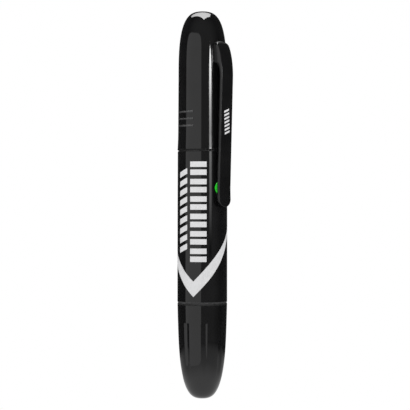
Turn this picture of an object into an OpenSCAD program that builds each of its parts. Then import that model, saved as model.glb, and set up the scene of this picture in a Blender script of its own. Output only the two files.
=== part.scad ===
// Counterfeit detector pen.
// A felt nib with detector fluid sits under the fluted nib cap, and a small
// ultraviolet lamp sits under the top cap, with its push button in the barrel.
// The pen stands along +Z, nib down. The origin is on the pen's axis, at the
// seam between the barrel and the nib cap. Headings are turned from the front
// of the pen, which faces -Y, towards +X.

/* [Overall] */
// Outside diameter of the barrel
pen_d = 18; // [17:0.1:22]
// Length of the barrel between the two caps
barrel_len = 54.45; // [52:0.05:70]
// Length of the nib cap below the barrel
nib_cap_len = 35; // [34:1:45]
// Length of the top cap above the barrel
top_cap_len = 50.55; // [48:0.05:62]
// Heading of the clip and the push button
side_heading = 45; // [0:1:90]

/* [Barrel] */
// Wall of the barrel
barrel_wall = 1.3; // [1:0.1:1.6]
// Length of the straight round grip above the seam
grip_len = 31; // [20:1:34]
// Radius lost to moulding draft above the grip
barrel_draft = 0.06; // [0.02:0.01:0.1]
// Bevel on the barrel's upper edge
edge_bevel = 0.2; // [0.1:0.05:0.4]
// Ribs that centre the ink reservoir
rib_count = 6; // [3:1:8]
// Height of a centring rib
rib_h = 1.2; // [0.8:0.1:1.6]
// Thickness of a centring rib
rib_t = 1; // [0.6:0.1:1.5]

/* [Nib cap] */
// Wall of the nib cap at its mouth
nib_cap_mouth_wall = 0.8; // [0.6:0.05:1]
// Wall at the rounded end of the nib cap
nib_cap_end_wall = 1.6; // [1.2:0.1:2.2]
// Straight part below the mouth
nib_cap_straight = 5; // [3:0.5:8]
// Radius lost to draft for each mm of length
nib_cap_draft = 0.025; // [0.01:0.005:0.04]
// Power of the rounded end's curve, 2 is an ellipse
nib_cap_power = 2.9; // [2.2:0.1:3.5]
// Height of the bevel round the mouth
rim_bevel_h = 0.65; // [0.3:0.05:1]
// Width of the bevel round the mouth
rim_bevel_w = 0.25; // [0.1:0.05:0.4]
// Flutes round the nib cap
flute_count = 8; // [4:1:12]
// Width of a flute
flute_w = 2; // [1:0.1:3]
// Depth of a flute at its upper end
flute_depth = 0.4; // [0.2:0.05:0.5]
// Distance from the mouth to the flutes
flute_drop = 7.7; // [6:0.1:12]
// Length of a flute
flute_len = 21; // [10:0.5:24]
// Heading of the first flute
flute_heading = 5; // [0:1:45]
// Outside diameter of the seal inside the nib cap
liner_d = 8.9; // [8.6:0.1:9.4]
// Wall of the seal
liner_wall = 0.6; // [0.4:0.1:0.8]

/* [Top cap] */
// Wall of the top cap at its mouth
top_cap_mouth_wall = 1; // [0.8:0.05:1.2]
// Wall of the top cap above its mouth
top_cap_wall = 1.25; // [1:0.05:1.6]
// Wall at the very top
top_cap_end_wall = 2; // [1.2:0.1:3]
// How much slimmer than the barrel the top cap is
cap_waist = 0.19; // [0:0.01:0.4]
// Length of the flare above the mouth
cap_flare_len = 5.7; // [3:0.1:10]
// Height of the bead on the rim
cap_bead = 0.08; // [0.04:0.01:0.15]
// Radius lost to draft between the flare and the dome
cap_draft = 0.11; // [0:0.01:0.3]
// Length of the domed end
dome_len = 24; // [16:1:30]
// Power of the dome's curve
dome_power = 3; // [2.2:0.1:4]
// Length of the grip sleeve inside the mouth
sleeve_len = 8; // [5:0.5:10]
// Wall of the grip sleeve
sleeve_t = 0.68; // [0.5:0.01:0.8]
// Grip ribs in each of the two sets on the cap
grip_ribs = 3; // [1:1:5]
// Distance from the cap's mouth to the lowest grip rib
grip_rib_drop = 8.8; // [8:0.1:14]
// Distance from one grip rib to the next
grip_rib_pitch = 2.5; // [2:0.1:4]
// Height of a grip rib
grip_rib_w = 0.75; // [0.4:0.05:1]
// How far a grip rib stands proud
grip_rib_out = 0.2; // [0.1:0.05:0.25]
// Arc that a grip rib covers, in degrees
grip_rib_arc = 45; // [20:1:60]

/* [Clip] */
// Length of the clip
clip_len = 59.7; // [50:0.1:62]
// Width of the clip
clip_w = 5.8; // [5:0.1:7]
// Thickness of the clip
clip_t = 1.3; // [1:0.1:1.6]
// Distance from the top of the cap to the top of the clip
clip_drop = 11; // [10:0.5:14]
// Length of the clip's curved shoulder
clip_shoulder = 13; // [11:0.5:16]
// Height of the clip's outer face above the barrel at its shoulder
clip_rise = 3.75; // [3:0.05:4.5]
// Height of the clip's outer face above the barrel near its tip
clip_tip_rise = 2.5; // [2.4:0.05:3]
// Length of the turned-out tip
clip_tip_len = 6; // [4:0.5:8]
// How far the tip turns out
clip_kick = 0.25; // [0:0.05:0.5]
// Gap between the clip's bead and the barrel
clip_bead_gap = 0.5; // [0.45:0.05:0.8]

/* [Nib and ink] */
// Length of the neck that the nib cap grips
neck_len = 9.3; // [7:0.1:11]
// Radius that the neck loses along its length
neck_taper = 0.8; // [0.5:0.05:1.2]
// Rings round the lower end of the neck
neck_rings = 2; // [1:1:3]
// Length of the nozzle
nozzle_len = 12.8; // [10:0.1:14]
// Radius of the nozzle's mouth
nozzle_r = 3.4; // [3:0.05:3.5]
// Diameter of the felt nib
nib_d = 5; // [4:0.1:5.4]
// Length of nib outside the nozzle
nib_out = 9.2; // [6:0.1:9.5]
// Length of the nib section inside the barrel
plug_in_len = 9; // [6:0.5:12]
// Wall of the nib section inside the barrel
plug_in_wall = 0.95; // [0.8:0.05:1]
// Depth that the nib pushes into the reservoir
nib_tail = 4; // [2:0.5:6]
// Thickness of the film round the reservoir
film_t = 0.15; // [0.1:0.05:0.25]
// Thickness of the plug above the reservoir
ink_plug_len = 3.2; // [2.5:0.1:5]

/* [Button and switch] */
// Diameter of the push button
button_d = 4.8; // [4:0.1:5.8]
// How far the button's crown stands above the barrel
button_rise = 0.35; // [0.1:0.05:0.35]
// Distance from the barrel's upper end down to the button
button_drop = 13.3; // [13:0.1:15]
// Travel of the button
press_travel = 0.4; // [0.2:0.05:0.45]
// Width of the button's retaining lip
button_lip = 0.5; // [0.3:0.05:0.6]
// Thickness of the button's lip
button_lip_t = 0.5; // [0.4:0.05:0.7]
// Diameter of the switch plunger
plunger_d = 1.8; // [1.4:0.1:2.4]
// Side of the square switch body
switch_side = 4.5; // [4:0.1:5]
// Height of the switch body
switch_t = 2; // [1.8:0.1:2.2]
// Thickness of both circuit boards
board_t = 0.8; // [0.6:0.1:1]
// Width of the switch board
switch_board_w = 8.5; // [6:0.5:9]

/* [Lamp and cells] */
// Diameter of a button cell
cell_d = 7.9; // [6.8:0.1:9.5]
// Height of a button cell
cell_h = 3.6; // [2.6:0.1:4.3]
// Depth of the lamp housing in the barrel
housing_in_len = 8; // [6:0.5:8]
// Height of the groove between the barrel and the top cap
seam_gap = 0.25; // [0.2:0.05:0.4]
// Length of the spigot under the top cap
spigot_len = 12.2; // [11:0.1:16]
// Depth of the lamp board below the spigot's shoulder
lamp_board_drop = 5; // [4:0.1:6]
// Radial step from the spigot to the threaded nose
nose_step = 1.2; // [1:0.05:1.4]
// Wall of the threaded nose
nose_wall = 0.75; // [0.7:0.05:0.9]
// Length of thread in use
thread_len = 5; // [4:0.5:6]
// Diameter of the lamp's dome
led_d = 5; // [3:0.5:5]
// Height of the lamp
led_h = 8.6; // [6:0.1:8.8]
// Thickness of the lens
lens_t = 1.5; // [1:0.1:2]
// Radius of the bezel's window
window_r = 4.7; // [4.2:0.1:4.8]
// Thickness of the bezel's front lip
bezel_lip_t = 1.2; // [0.8:0.1:2]
// Notches round the bezel
bezel_notches = 20; // [12:1:30]
// Thickness of the lens's sealing ring
seal_d = 0.7; // [0.5:0.05:0.9]

/* [Fits] */
// Radial clearance of the nib cap on its neck
nib_cap_fit = 0.1; // [0.05:0.01:0.1]
// Radial clearance of the sleeve on the spigot
sleeve_fit = 0.07; // [0.05:0.01:0.1]
// Radial clearance of turning and sliding pieces
running_fit = 0.07; // [0.05:0.01:0.1]
// Radial clearance round a cell
cell_fit = 0.15; // [0.1:0.01:0.2]
// Gap between parts that meet end to end but move apart
end_gap = 0.05; // [0.03:0.01:0.1]
// Clearance round the clip's foot
clip_fit = 0.2; // [0.15:0.01:0.25]

/* [Hidden] */
$fn = 96;

// Small amount by which a cut runs past the face it opens.
over = 1;
// Turns of arc between two points of a rounded outline.
arc_step = 6;

// Barrel
pen_r = pen_d / 2;
bore_r = pen_r - barrel_wall;
side_turn = side_heading - 90;

// Nib end
neck_r = pen_r - nib_cap_mouth_wall - nib_cap_fit;
neck_end_r = neck_r - neck_taper;
neck_end_gap = 0.3;
nib_cap_in_r = neck_end_r + neck_end_gap;
nozzle_shoulder_r = neck_end_r - 0.5;
nozzle_tip_z = -neck_len - nozzle_len;
nib_r = nib_d / 2;
nib_tip_z = nozzle_tip_z - nib_out;
liner_r = liner_d / 2;
liner_sink = 0.76;
hollow_r = nib_cap_in_r + nib_cap_draft * neck_len;
hollow_len = nib_cap_len - nib_cap_straight - nib_cap_end_wall;
hollow_share = liner_r / (hollow_r - nib_cap_draft * nib_cap_len);
liner_seat_z = -nib_cap_straight - hollow_len * pow(1 - pow(hollow_share, nib_cap_power), 1 / nib_cap_power);
liner_foot_z = liner_seat_z - liner_sink;
liner_mouth_z = nozzle_tip_z + 3.8;
reservoir_r = bore_r - rib_h - film_t;
button_z = barrel_len - button_drop;
housing_z = barrel_len - housing_in_len;
ink_plug_z = button_z - button_d / 2 - button_lip - ink_plug_len - 0.6;

// Top cap
cap_mouth_z = barrel_len + seam_gap + end_gap;
cap_top_z = barrel_len + top_cap_len;
cap_body_r = pen_r - cap_waist;
dome_r = cap_body_r - cap_draft;
dome_z = cap_top_z - dome_len;
cap_mouth_r = pen_r - top_cap_mouth_wall;
cap_in_r = cap_body_r - top_cap_wall;
sleeve_z = cap_mouth_z + end_gap;
sleeve_in_r = cap_mouth_r - sleeve_t;

// Clip, as distances from the axis and heights
clip_z = cap_top_z - clip_drop;
clip_tip_z = clip_z - clip_len;
clip_seat_r = pen_r - 0.9;
clip_top_r = dome_r * pow(1 - pow((clip_z - dome_z) / dome_len, dome_power), 1 / dome_power);
clip_out_r = pen_r + clip_rise;
clip_low_r = pen_r + clip_tip_rise;
foot_low_z = clip_z - 7.3;
foot_high_z = clip_z - 2.1;
foot_w = clip_w - 1.2;
foot_in_r = clip_seat_r - 0.65;
clip_root_z = clip_z - 8.2;

// Spigot, nose and lamp
spigot_z = barrel_len + seam_gap;
spigot_r = sleeve_in_r - sleeve_fit;
shoulder_z = spigot_z + spigot_len;
key_w = 1;
key_h = 0.3;
nose_r = spigot_r - nose_step;
bezel_z = shoulder_z + 0.5;
nose_top_z = bezel_z + thread_len;
chamber_r = nose_r - nose_wall;
cell_bore_r = cell_d / 2 + cell_fit;
lamp_board_z = shoulder_z - lamp_board_drop;
led_r = led_d / 2;
plate_t = 0.4;
contact_t = 0.3;
strip_w = 2;
strip_t = 0.3;
strip_gap = 0.15;
cells_z = lamp_board_z - contact_t - 3 * cell_h;
spring_z = housing_z + plate_t;
reflector_r = chamber_r - running_fit;
reflector_z = lamp_board_z + board_t + 2;
rim_t = 0.55;
lens_z = nose_top_z + end_gap + rim_t;
lens_r = nose_r - 0.15;
lens_top_z = lens_z + lens_t;
lip_z = lens_top_z + seal_d + end_gap;
bezel_top_z = lip_z + bezel_lip_t;
bezel_r = spigot_r - key_h - 0.15;
bezel_bore_r = nose_r + running_fit;

// Button and switch, as distances from the axis
button_r = button_d / 2;
lip_r = button_r + button_lip;
lip_top = sqrt(bore_r * bore_r - lip_r * lip_r) - 0.08;
lip_bottom = lip_top - button_lip_t;
plunger_top = lip_bottom - 0.02;
plunger_proud = press_travel + 0.15;
plunger_sunk = 0.8;
switch_top = plunger_top - plunger_proud;
switch_bottom = switch_top - switch_t;
board_bottom = switch_bottom - board_t;
board_low_z = ink_plug_z + ink_plug_len + 0.3;
board_high_z = housing_z - 0.5;

// Outline of a rounded closed end, from its base at z_start to its tip on the
// axis. A negative length points it down, and draft narrows it towards the tip.
function round_end(r, draft, z_start, len, power) = [
    for (t = [0 : arc_step : 90])
        let (rise = len * pow(sin(t), 2 / power))
        [(r - draft * abs(z_start + rise)) * pow(cos(t), 2 / power), z_start + rise]
];

// Quarter of an ellipse from turn t0 to t1 about [cx, cy].
function ellipse_arc(cx, cy, a, b, t0, t1, steps = 12) = [
    for (i = [0 : steps])
        let (t = t0 + (t1 - t0) * i / steps)
        [cx + a * cos(t), cy + b * sin(t)]
];

// Radius of the nib cap's outside at height z.
function nib_cap_r(z) =
    let (run = max(0, -nib_cap_straight - z) / (nib_cap_len - nib_cap_straight))
    (pen_r + nib_cap_draft * z) * pow(1 - pow(run, nib_cap_power), 1 / nib_cap_power);

// Radius of the neck at height z.
function neck_at(z) = neck_r + neck_taper * z / neck_len;

// A slab of width w with its outline in the plane of distance and height.
module side_slab(w, points) {
    rotate([90, 0, 0])
        linear_extrude(w, center = true)
            polygon(points);
}

// Turns its children from +X to the clip's and button's heading.
module on_side() {
    rotate([0, 0, side_turn])
        children();
}

// Points the z axis of its children outwards from the button's centre.
module outwards() {
    on_side()
        translate([0, 0, button_z])
            rotate([0, 90, 0])
                children();
}

// A ring with inner radius r_in and outer radius r_out.
module ring(r_in, r_out, z, h) {
    translate([0, 0, z])
        difference() {
            cylinder(h = h, r = r_out);
            translate([0, 0, -over])
                cylinder(h = h + 2 * over, r = r_in);
        }
}

module barrel() {
    color("black")
        difference() {
            union() {
                rotate_extrude()
                    polygon([
                        [bore_r, 0],
                        [pen_r, 0],
                        [pen_r, grip_len],
                        [pen_r - barrel_draft, barrel_len - edge_bevel],
                        [pen_r - barrel_draft - edge_bevel, barrel_len],
                        [bore_r, barrel_len]
                    ]);
                for (i = [0 : rib_count - 1])
                    rotate([0, 0, i * 360 / rib_count])
                        translate([bore_r - rib_h, -rib_t / 2, plug_in_len])
                            cube([rib_h + barrel_wall / 2, rib_t, ink_plug_z - plug_in_len]);
            }
            outwards()
                cylinder(h = pen_d, r = button_r + running_fit);
        }
}

module nib_section() {
    nozzle_steps = 10;
    nozzle_curve = [
        for (i = [0 : nozzle_steps])
            let (s = i / nozzle_steps)
            [
                nozzle_r + (nozzle_shoulder_r - nozzle_r) * pow(1 - s, 2),
                -neck_len - 0.3 - (nozzle_len - 0.8) * s
            ]
    ];
    color("black")
        difference() {
            union() {
                rotate_extrude()
                    polygon(concat(
                        [[0, plug_in_len], [bore_r, plug_in_len], [bore_r, 0], [neck_r, 0]],
                        [[neck_end_r, -neck_len]],
                        nozzle_curve,
                        [[nozzle_r + 0.1, nozzle_tip_z + 0.4], [nozzle_r - 0.1, nozzle_tip_z]],
                        [[0, nozzle_tip_z]]
                    ));
                for (i = [0 : neck_rings - 1])
                    let (z = -neck_len + 2 + 1.4 * i)
                    translate([0, 0, z])
                        cylinder(h = 0.5, r = neck_at(z) + 0.1);
            }
            translate([0, 0, nozzle_tip_z - over])
                cylinder(h = nozzle_len + neck_len + over, r = nib_r);
            rotate_extrude()
                polygon([
                    [0, -neck_len + 1],
                    [nib_r, -neck_len + 1],
                    [reservoir_r - 0.6, -neck_len + 4],
                    [reservoir_r - 0.6, 0],
                    [bore_r - plug_in_wall, 0],
                    [bore_r - plug_in_wall, plug_in_len + over],
                    [0, plug_in_len + over]
                ]);
        }
}

module nib() {
    tip_len = nib_out / 2;
    nib_step = 0.25;
    nib_power = 2.2;
    shaft_end_z = nib_tip_z + tip_len;
    color("midnightblue")
        rotate_extrude()
            polygon(concat(
                [[0, nib_tail], [nib_r, nib_tail], [nib_r, nozzle_tip_z - 0.4]],
                round_end(nib_r - nib_step, 0, shaft_end_z, -tip_len, nib_power)
            ));
}

module ink_reservoir() {
    color("white")
        difference() {
            cylinder(h = ink_plug_z, r = reservoir_r);
            translate([0, 0, -over])
                cylinder(h = nib_tail + over, r = nib_r);
        }
}

module reservoir_film() {
    color("lightgray")
        ring(reservoir_r, reservoir_r + film_t, 0.5, ink_plug_z - 1);
}

module reservoir_plug() {
    groove_z = ink_plug_z + ink_plug_len / 2 - 0.4;
    color("dimgray")
        difference() {
            translate([0, 0, ink_plug_z])
                cylinder(h = ink_plug_len, r = bore_r);
            ring(bore_r - 0.5, bore_r + over, groove_z, 0.8);
        }
}

module nib_cap() {
    flute_steps = 12;
    flute_points = [
        for (i = [0 : flute_steps])
            let (z = -flute_drop - flute_len * i / flute_steps)
            [nib_cap_r(z) - flute_depth * (1 - i / flute_steps), z]
    ];
    end_len = nib_cap_len - nib_cap_straight;
    inside = [
        for (p = round_end(hollow_r, nib_cap_draft, -nib_cap_straight, -hollow_len, nib_cap_power))
            if (p[1] < -neck_len) p
    ];
    color("black")
        difference() {
            rotate_extrude()
                polygon(concat(
                    [[0, -end_gap], [pen_r - rim_bevel_w, -end_gap]],
                    [[pen_r, -rim_bevel_h]],
                    round_end(pen_r, nib_cap_draft, -nib_cap_straight, -end_len, nib_cap_power)
                ));
            rotate_extrude()
                polygon(concat(
                    [[0, over], [neck_r + nib_cap_fit, over], [neck_r + nib_cap_fit, -end_gap]],
                    [[nib_cap_in_r, -neck_len]],
                    inside
                ));
            translate([0, 0, liner_foot_z])
                cylinder(h = 4, r = liner_r);
            for (i = [0 : flute_count - 1])
                rotate([0, 0, flute_heading - 90 + i * 360 / flute_count])
                    side_slab(flute_w, concat(
                        flute_points,
                        [[pen_d, -flute_drop - flute_len], [pen_d, -flute_drop]]
                    ));
        }
}

module nib_cap_liner() {
    color("gainsboro")
        ring(liner_r - liner_wall, liner_r, liner_foot_z, liner_mouth_z - liner_foot_z);
}

module top_cap() {
    hollow_z = dome_z - 4;
    hollow_len = cap_top_z - top_cap_end_wall - hollow_z;
    rib_turn = side_turn - 90 - grip_rib_arc / 2;
    recess_w = clip_w + 0.5;
    recess_low = 0.1;
    recess_high = 0.55;
    color("black")
        difference() {
            union() {
                rotate_extrude()
                    polygon(concat(
                        [[0, cap_mouth_z], [pen_r - 0.15, cap_mouth_z]],
                        [[pen_r + cap_bead, cap_mouth_z + 0.15]],
                        [[pen_r + cap_bead, cap_mouth_z + 0.35], [pen_r, cap_mouth_z + 0.55]],
                        [[cap_body_r + cap_waist * 0.3, cap_mouth_z + cap_flare_len / 2]],
                        [[cap_body_r, cap_mouth_z + cap_flare_len]],
                        round_end(dome_r, 0, dome_z, dome_len, dome_power)
                    ));
                for (half = [0, 180], i = [0 : grip_ribs - 1])
                    rotate([0, 0, rib_turn + half])
                        translate([0, 0, cap_mouth_z + grip_rib_drop + i * grip_rib_pitch])
                            rotate_extrude(angle = grip_rib_arc)
                                polygon([
                                    [cap_in_r + 0.3, -grip_rib_w / 2],
                                    [cap_body_r, -grip_rib_w / 2],
                                    [cap_body_r + grip_rib_out, 0],
                                    [cap_body_r, grip_rib_w / 2],
                                    [cap_in_r + 0.3, grip_rib_w / 2]
                                ]);
            }
            rotate_extrude()
                polygon(concat(
                    [[0, cap_mouth_z - over], [cap_mouth_r, cap_mouth_z - over]],
                    [[cap_mouth_r, sleeve_z + sleeve_len], [cap_in_r, sleeve_z + sleeve_len]],
                    round_end(cap_in_r, 0, hollow_z, hollow_len, dome_power)
                ));
            on_side() {
                translate([clip_seat_r - recess_low, -recess_w / 2, clip_root_z - 0.4])
                    cube([pen_r, recess_w, foot_high_z - clip_root_z + 0.5]);
                translate([clip_seat_r - recess_high, -recess_w / 2, foot_high_z - 0.5])
                    cube([pen_r, recess_w, clip_z - foot_high_z + 0.7]);
                translate([bore_r - 2, -foot_w / 2 - clip_fit, foot_low_z - clip_fit])
                    cube([pen_r, foot_w + 2 * clip_fit, foot_high_z - foot_low_z + 2 * clip_fit]);
            }
        }
}

module cap_inner_sleeve() {
    color("dimgray")
        union() {
            ring(sleeve_in_r, cap_mouth_r, sleeve_z, sleeve_len);
            rotate([0, 0, side_turn + 180])
                translate([sleeve_in_r - key_h, -key_w / 2, sleeve_z])
                    cube([key_h + sleeve_t / 2, key_w, sleeve_len]);
        }
}

module pocket_clip() {
    bead_r = 0.8;
    bead_z = clip_tip_z + 4.2;
    corner = 1;
    under_r = clip_out_r - clip_t;
    root_r = clip_seat_r + 0.8;
    outline = concat(
        ellipse_arc(clip_top_r, clip_z - clip_shoulder,
                    clip_out_r - clip_top_r, clip_shoulder, 90, 0),
        [[clip_low_r, clip_tip_z + clip_tip_len], [clip_low_r + clip_kick, clip_tip_z]],
        [[clip_low_r + clip_kick - clip_t, clip_tip_z]],
        [[clip_low_r - clip_t, clip_tip_z + clip_tip_len]],
        ellipse_arc(root_r, clip_z - clip_shoulder, under_r - root_r,
                    clip_root_z + clip_shoulder - clip_z, 0, 90),
        [[clip_seat_r, clip_root_z], [clip_seat_r, foot_low_z], [foot_in_r, foot_low_z]],
        [[foot_in_r, foot_high_z], [clip_seat_r, foot_high_z], [clip_seat_r, clip_z]]
    );
    color("black")
        on_side()
            intersection() {
                union() {
                    difference() {
                        side_slab(clip_w, outline);
                        for (side = [-1, 1])
                            translate([foot_in_r - over, side * (foot_w / 2 + clip_w / 2) - clip_w / 2,
                                       foot_low_z - over])
                                cube([clip_seat_r - foot_in_r + over, clip_w,
                                      foot_high_z - foot_low_z + 2 * over]);
                    }
                    intersection() {
                        translate([pen_r + clip_bead_gap + bead_r, 0, bead_z])
                            rotate([90, 0, 0])
                                cylinder(h = clip_w - 2, r = bead_r, center = true);
                        translate([pen_r, -clip_w / 2, clip_tip_z])
                            cube([clip_tip_rise, clip_w, clip_tip_len + over]);
                    }
                }
                rotate([90, 0, 90])
                    linear_extrude(clip_out_r + over)
                        union() {
                            translate([-clip_w / 2, clip_tip_z + clip_w / 2])
                                square([clip_w, clip_len - clip_w / 2 - corner]);
                            translate([-clip_w / 2 + corner, clip_z - 2 * corner])
                                square([clip_w - 2 * corner, 2 * corner]);
                            translate([0, clip_tip_z + clip_w / 2])
                                circle(r = clip_w / 2);
                            for (side = [-1, 1])
                                translate([side * (clip_w / 2 - corner), clip_z - corner])
                                    circle(r = corner);
                        }
            }
}

module side_button() {
    crown_r = 12;
    color("limegreen")
        outwards()
            union() {
                translate([0, 0, lip_bottom])
                    cylinder(h = button_lip_t, r = lip_r);
                intersection() {
                    translate([0, 0, lip_bottom])
                        cylinder(h = pen_r + button_rise - lip_bottom, r = button_r);
                    translate([0, 0, pen_r + button_rise - crown_r])
                        sphere(r = crown_r);
                }
            }
}

module switch_plunger() {
    color("ivory")
        outwards()
            translate([0, 0, switch_top - plunger_sunk])
                cylinder(h = plunger_top - switch_top + plunger_sunk, r = plunger_d / 2);
}

module switch_body() {
    pocket = plunger_sunk + press_travel + 0.1;
    color("gray")
        outwards()
            difference() {
                translate([-switch_side / 2, -switch_side / 2, switch_bottom])
                    cube([switch_side, switch_side, switch_t]);
                translate([0, 0, switch_top - pocket])
                    cylinder(h = pocket + over, r = plunger_d / 2 + running_fit);
            }
}

module switch_board() {
    color("green")
        on_side()
            translate([board_bottom, -switch_board_w / 2, board_low_z])
                cube([board_t, switch_board_w, board_high_z - board_low_z]);
}

module indicator_led() {
    led_l = 1.6;
    led_t = 0.7;
    color("palegreen")
        on_side()
            translate([switch_bottom, switch_side / 2 + 0.3, button_z - led_l / 2])
                cube([led_t, 0.9, led_l]);
}

module switch_carrier() {
    low_z = ink_plug_z + ink_plug_len;
    color("darkgray")
        difference() {
            intersection() {
                translate([0, 0, low_z])
                    cylinder(h = housing_z - low_z, r = bore_r);
                on_side()
                    translate([-pen_r, -pen_r, low_z])
                        cube([pen_r + board_bottom, pen_d, housing_z - low_z]);
            }
            translate([0, 0, low_z - over])
                cylinder(h = housing_z - low_z + 2 * over, r = 1.5);
        }
}

module spring_plate() {
    tail_w = 1.6;
    color("silver")
        union() {
            translate([0, 0, housing_z])
                cylinder(h = plate_t, r = cell_bore_r - 0.1);
            on_side()
                translate([-0.2, -tail_w / 2, housing_z - 3])
                    cube([plate_t, tail_w, 3 + plate_t / 2]);
        }
}

// Conical coil spring swept from rings of points along a narrowing helix.
module battery_spring() {
    wire_r = 0.25;
    turns = 3.5;
    rings = 70;
    sides = 8;
    low_r = cell_d / 2 - 0.6;
    high_r = 2;
    rise = cells_z - spring_z - 2 * wire_r;
    points = [
        for (i = [0 : rings], j = [0 : sides - 1])
            let (
                s = i / rings,
                turn = 360 * turns * s,
                r = low_r + (high_r - low_r) * s + wire_r * cos(360 * j / sides)
            )
            [r * cos(turn), r * sin(turn), spring_z + wire_r + rise * s + wire_r * sin(360 * j / sides)]
    ];
    walls = [
        for (i = [0 : rings - 1], j = [0 : sides - 1])
            let (k = (j + 1) % sides)
            [i * sides + j, i * sides + k, (i + 1) * sides + k, (i + 1) * sides + j]
    ];
    ends = [
        [for (j = [sides - 1 : -1 : 0]) j],
        [for (j = [0 : sides - 1]) rings * sides + j]
    ];
    color("silver")
        polyhedron(points, concat(walls, ends));
}

module cell(index) {
    low_z = cells_z + index * cell_h;
    neck_h = 0.5;
    color("lightsteelblue")
        union() {
            translate([0, 0, low_z])
                cylinder(h = neck_h, r = cell_d / 2 - 0.8);
            translate([0, 0, low_z + neck_h])
                cylinder(h = cell_h - neck_h, r = cell_d / 2);
        }
}

module cell_1() {
    cell(0);
}

module cell_2() {
    cell(1);
}

module cell_3() {
    cell(2);
}

module contact_disc() {
    color("gold")
        translate([0, 0, lamp_board_z - contact_t])
            cylinder(h = contact_t, r = cell_bore_r - 0.1);
}

module lamp_housing() {
    color("dimgray")
        difference() {
            union() {
                translate([0, 0, housing_z])
                    cylinder(h = housing_in_len, r = bore_r);
                translate([0, 0, barrel_len])
                    cylinder(h = seam_gap, r = pen_r - 0.4);
                translate([0, 0, barrel_len])
                    cylinder(h = shoulder_z - barrel_len, r = spigot_r);
                translate([0, 0, barrel_len])
                    cylinder(h = nose_top_z - barrel_len, r = nose_r);
            }
            translate([0, 0, housing_z - over])
                cylinder(h = lamp_board_z - housing_z + 2 * over, r = cell_bore_r);
            translate([0, 0, lamp_board_z])
                cylinder(h = nose_top_z - lamp_board_z + over, r = chamber_r);
            rotate([0, 0, side_turn + 180]) {
                translate([cell_bore_r - over, -strip_w / 2 - 0.1, housing_z - over])
                    cube([over + strip_gap + strip_t, strip_w + 0.2, lamp_board_z - housing_z + over]);
                translate([spigot_r - key_h - 0.1, -key_w / 2 - 0.1, spigot_z])
                    cube([over + key_h, key_w + 0.2, spigot_len + over]);
            }
            rotate([0, 0, side_turn])
                translate([chamber_r - over, -0.6, reflector_z - 0.2])
                    cube([over + 0.4, 1.2, nose_top_z - reflector_z + over]);
        }
}

module return_strip() {
    color("gold")
        rotate([0, 0, side_turn + 180])
            translate([cell_bore_r + strip_gap, -strip_w / 2, housing_z + 1])
                cube([strip_t, strip_w, lamp_board_z - housing_z - 1]);
}

module lamp_board() {
    color("green")
        translate([0, 0, lamp_board_z])
            cylinder(h = board_t, r = chamber_r);
}

module board_resistor() {
    color("darkslategray")
        translate([led_r + 0.9, -0.4, lamp_board_z + board_t])
            cube([0.8, 1.6, 0.45]);
}

module uv_led() {
    low_z = lamp_board_z + board_t;
    color("mediumpurple")
        union() {
            translate([0, 0, low_z])
                cylinder(h = 1, r = led_r + 0.4);
            translate([0, 0, low_z])
                cylinder(h = led_h - led_r, r = led_r);
            translate([0, 0, low_z + led_h - led_r])
                sphere(r = led_r);
        }
}

module reflector() {
    hole_r = led_r + 0.15;
    bowl_r = reflector_r - 0.35;
    color("silver")
        difference() {
            union() {
                translate([0, 0, reflector_z])
                    cylinder(h = lens_z - reflector_z, r = reflector_r);
                translate([0, 0, nose_top_z + end_gap])
                    cylinder(h = rim_t, r = lens_r);
                rotate([0, 0, side_turn])
                    translate([reflector_r - 0.5, -0.5, reflector_z])
                        cube([0.5 + 0.35, 1, lens_z - rim_t - reflector_z]);
            }
            rotate_extrude()
                polygon(concat(
                    [[0, reflector_z - over], [hole_r, reflector_z - over], [hole_r, reflector_z + 1]],
                    ellipse_arc(0, lens_z, bowl_r, lens_z - reflector_z - 1,
                                -acos(hole_r / bowl_r), 0),
                    [[bowl_r, lens_z + over], [0, lens_z + over]]
                ));
        }
}

module lamp_lens() {
    crown = 0.4;
    rim_h = lens_t - crown;
    crown_r = (window_r * window_r + crown * crown) / (2 * crown);
    color("lavender")
        union() {
            translate([0, 0, lens_z])
                cylinder(h = rim_h, r = lens_r);
            intersection() {
                translate([0, 0, lens_z + rim_h / 2])
                    cylinder(h = lens_t, r = window_r);
                translate([0, 0, lens_z + lens_t - crown_r])
                    sphere(r = crown_r);
            }
            ring(window_r, lens_r, lens_z + rim_h, crown);
        }
}

module bezel_o_ring() {
    color("black")
        translate([0, 0, lens_top_z + seal_d / 2])
            rotate_extrude()
                translate([lens_r - seal_d / 2 - 0.05, 0])
                    circle(r = seal_d / 2);
}

module lamp_bezel() {
    notch_r = 0.4;
    color("dimgray")
        difference() {
            rotate_extrude()
                polygon([
                    [bezel_bore_r, bezel_z],
                    [bezel_r, bezel_z],
                    [bezel_r, bezel_top_z - 0.5],
                    [bezel_r - 0.5, bezel_top_z],
                    [window_r + 0.3, bezel_top_z],
                    [window_r, bezel_top_z - 0.3],
                    [window_r, lip_z],
                    [bezel_bore_r, lip_z]
                ]);
            for (i = [0 : bezel_notches - 1])
                rotate([0, 0, i * 360 / bezel_notches])
                    translate([bezel_r + notch_r - 0.2, 0, bezel_z + 1])
                        cylinder(h = thread_len, r = notch_r);
        }
}

barrel();
nib_section();
nib();
ink_reservoir();
reservoir_film();
reservoir_plug();
nib_cap();
nib_cap_liner();
top_cap();
cap_inner_sleeve();
pocket_clip();
side_button();
switch_plunger();
switch_body();
switch_board();
indicator_led();
switch_carrier();
spring_plate();
battery_spring();
cell_1();
cell_2();
cell_3();
contact_disc();
lamp_housing();
return_strip();
lamp_board();
board_resistor();
uv_led();
reflector();
lamp_lens();
bezel_o_ring();
lamp_bezel();
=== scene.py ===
import math

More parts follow.
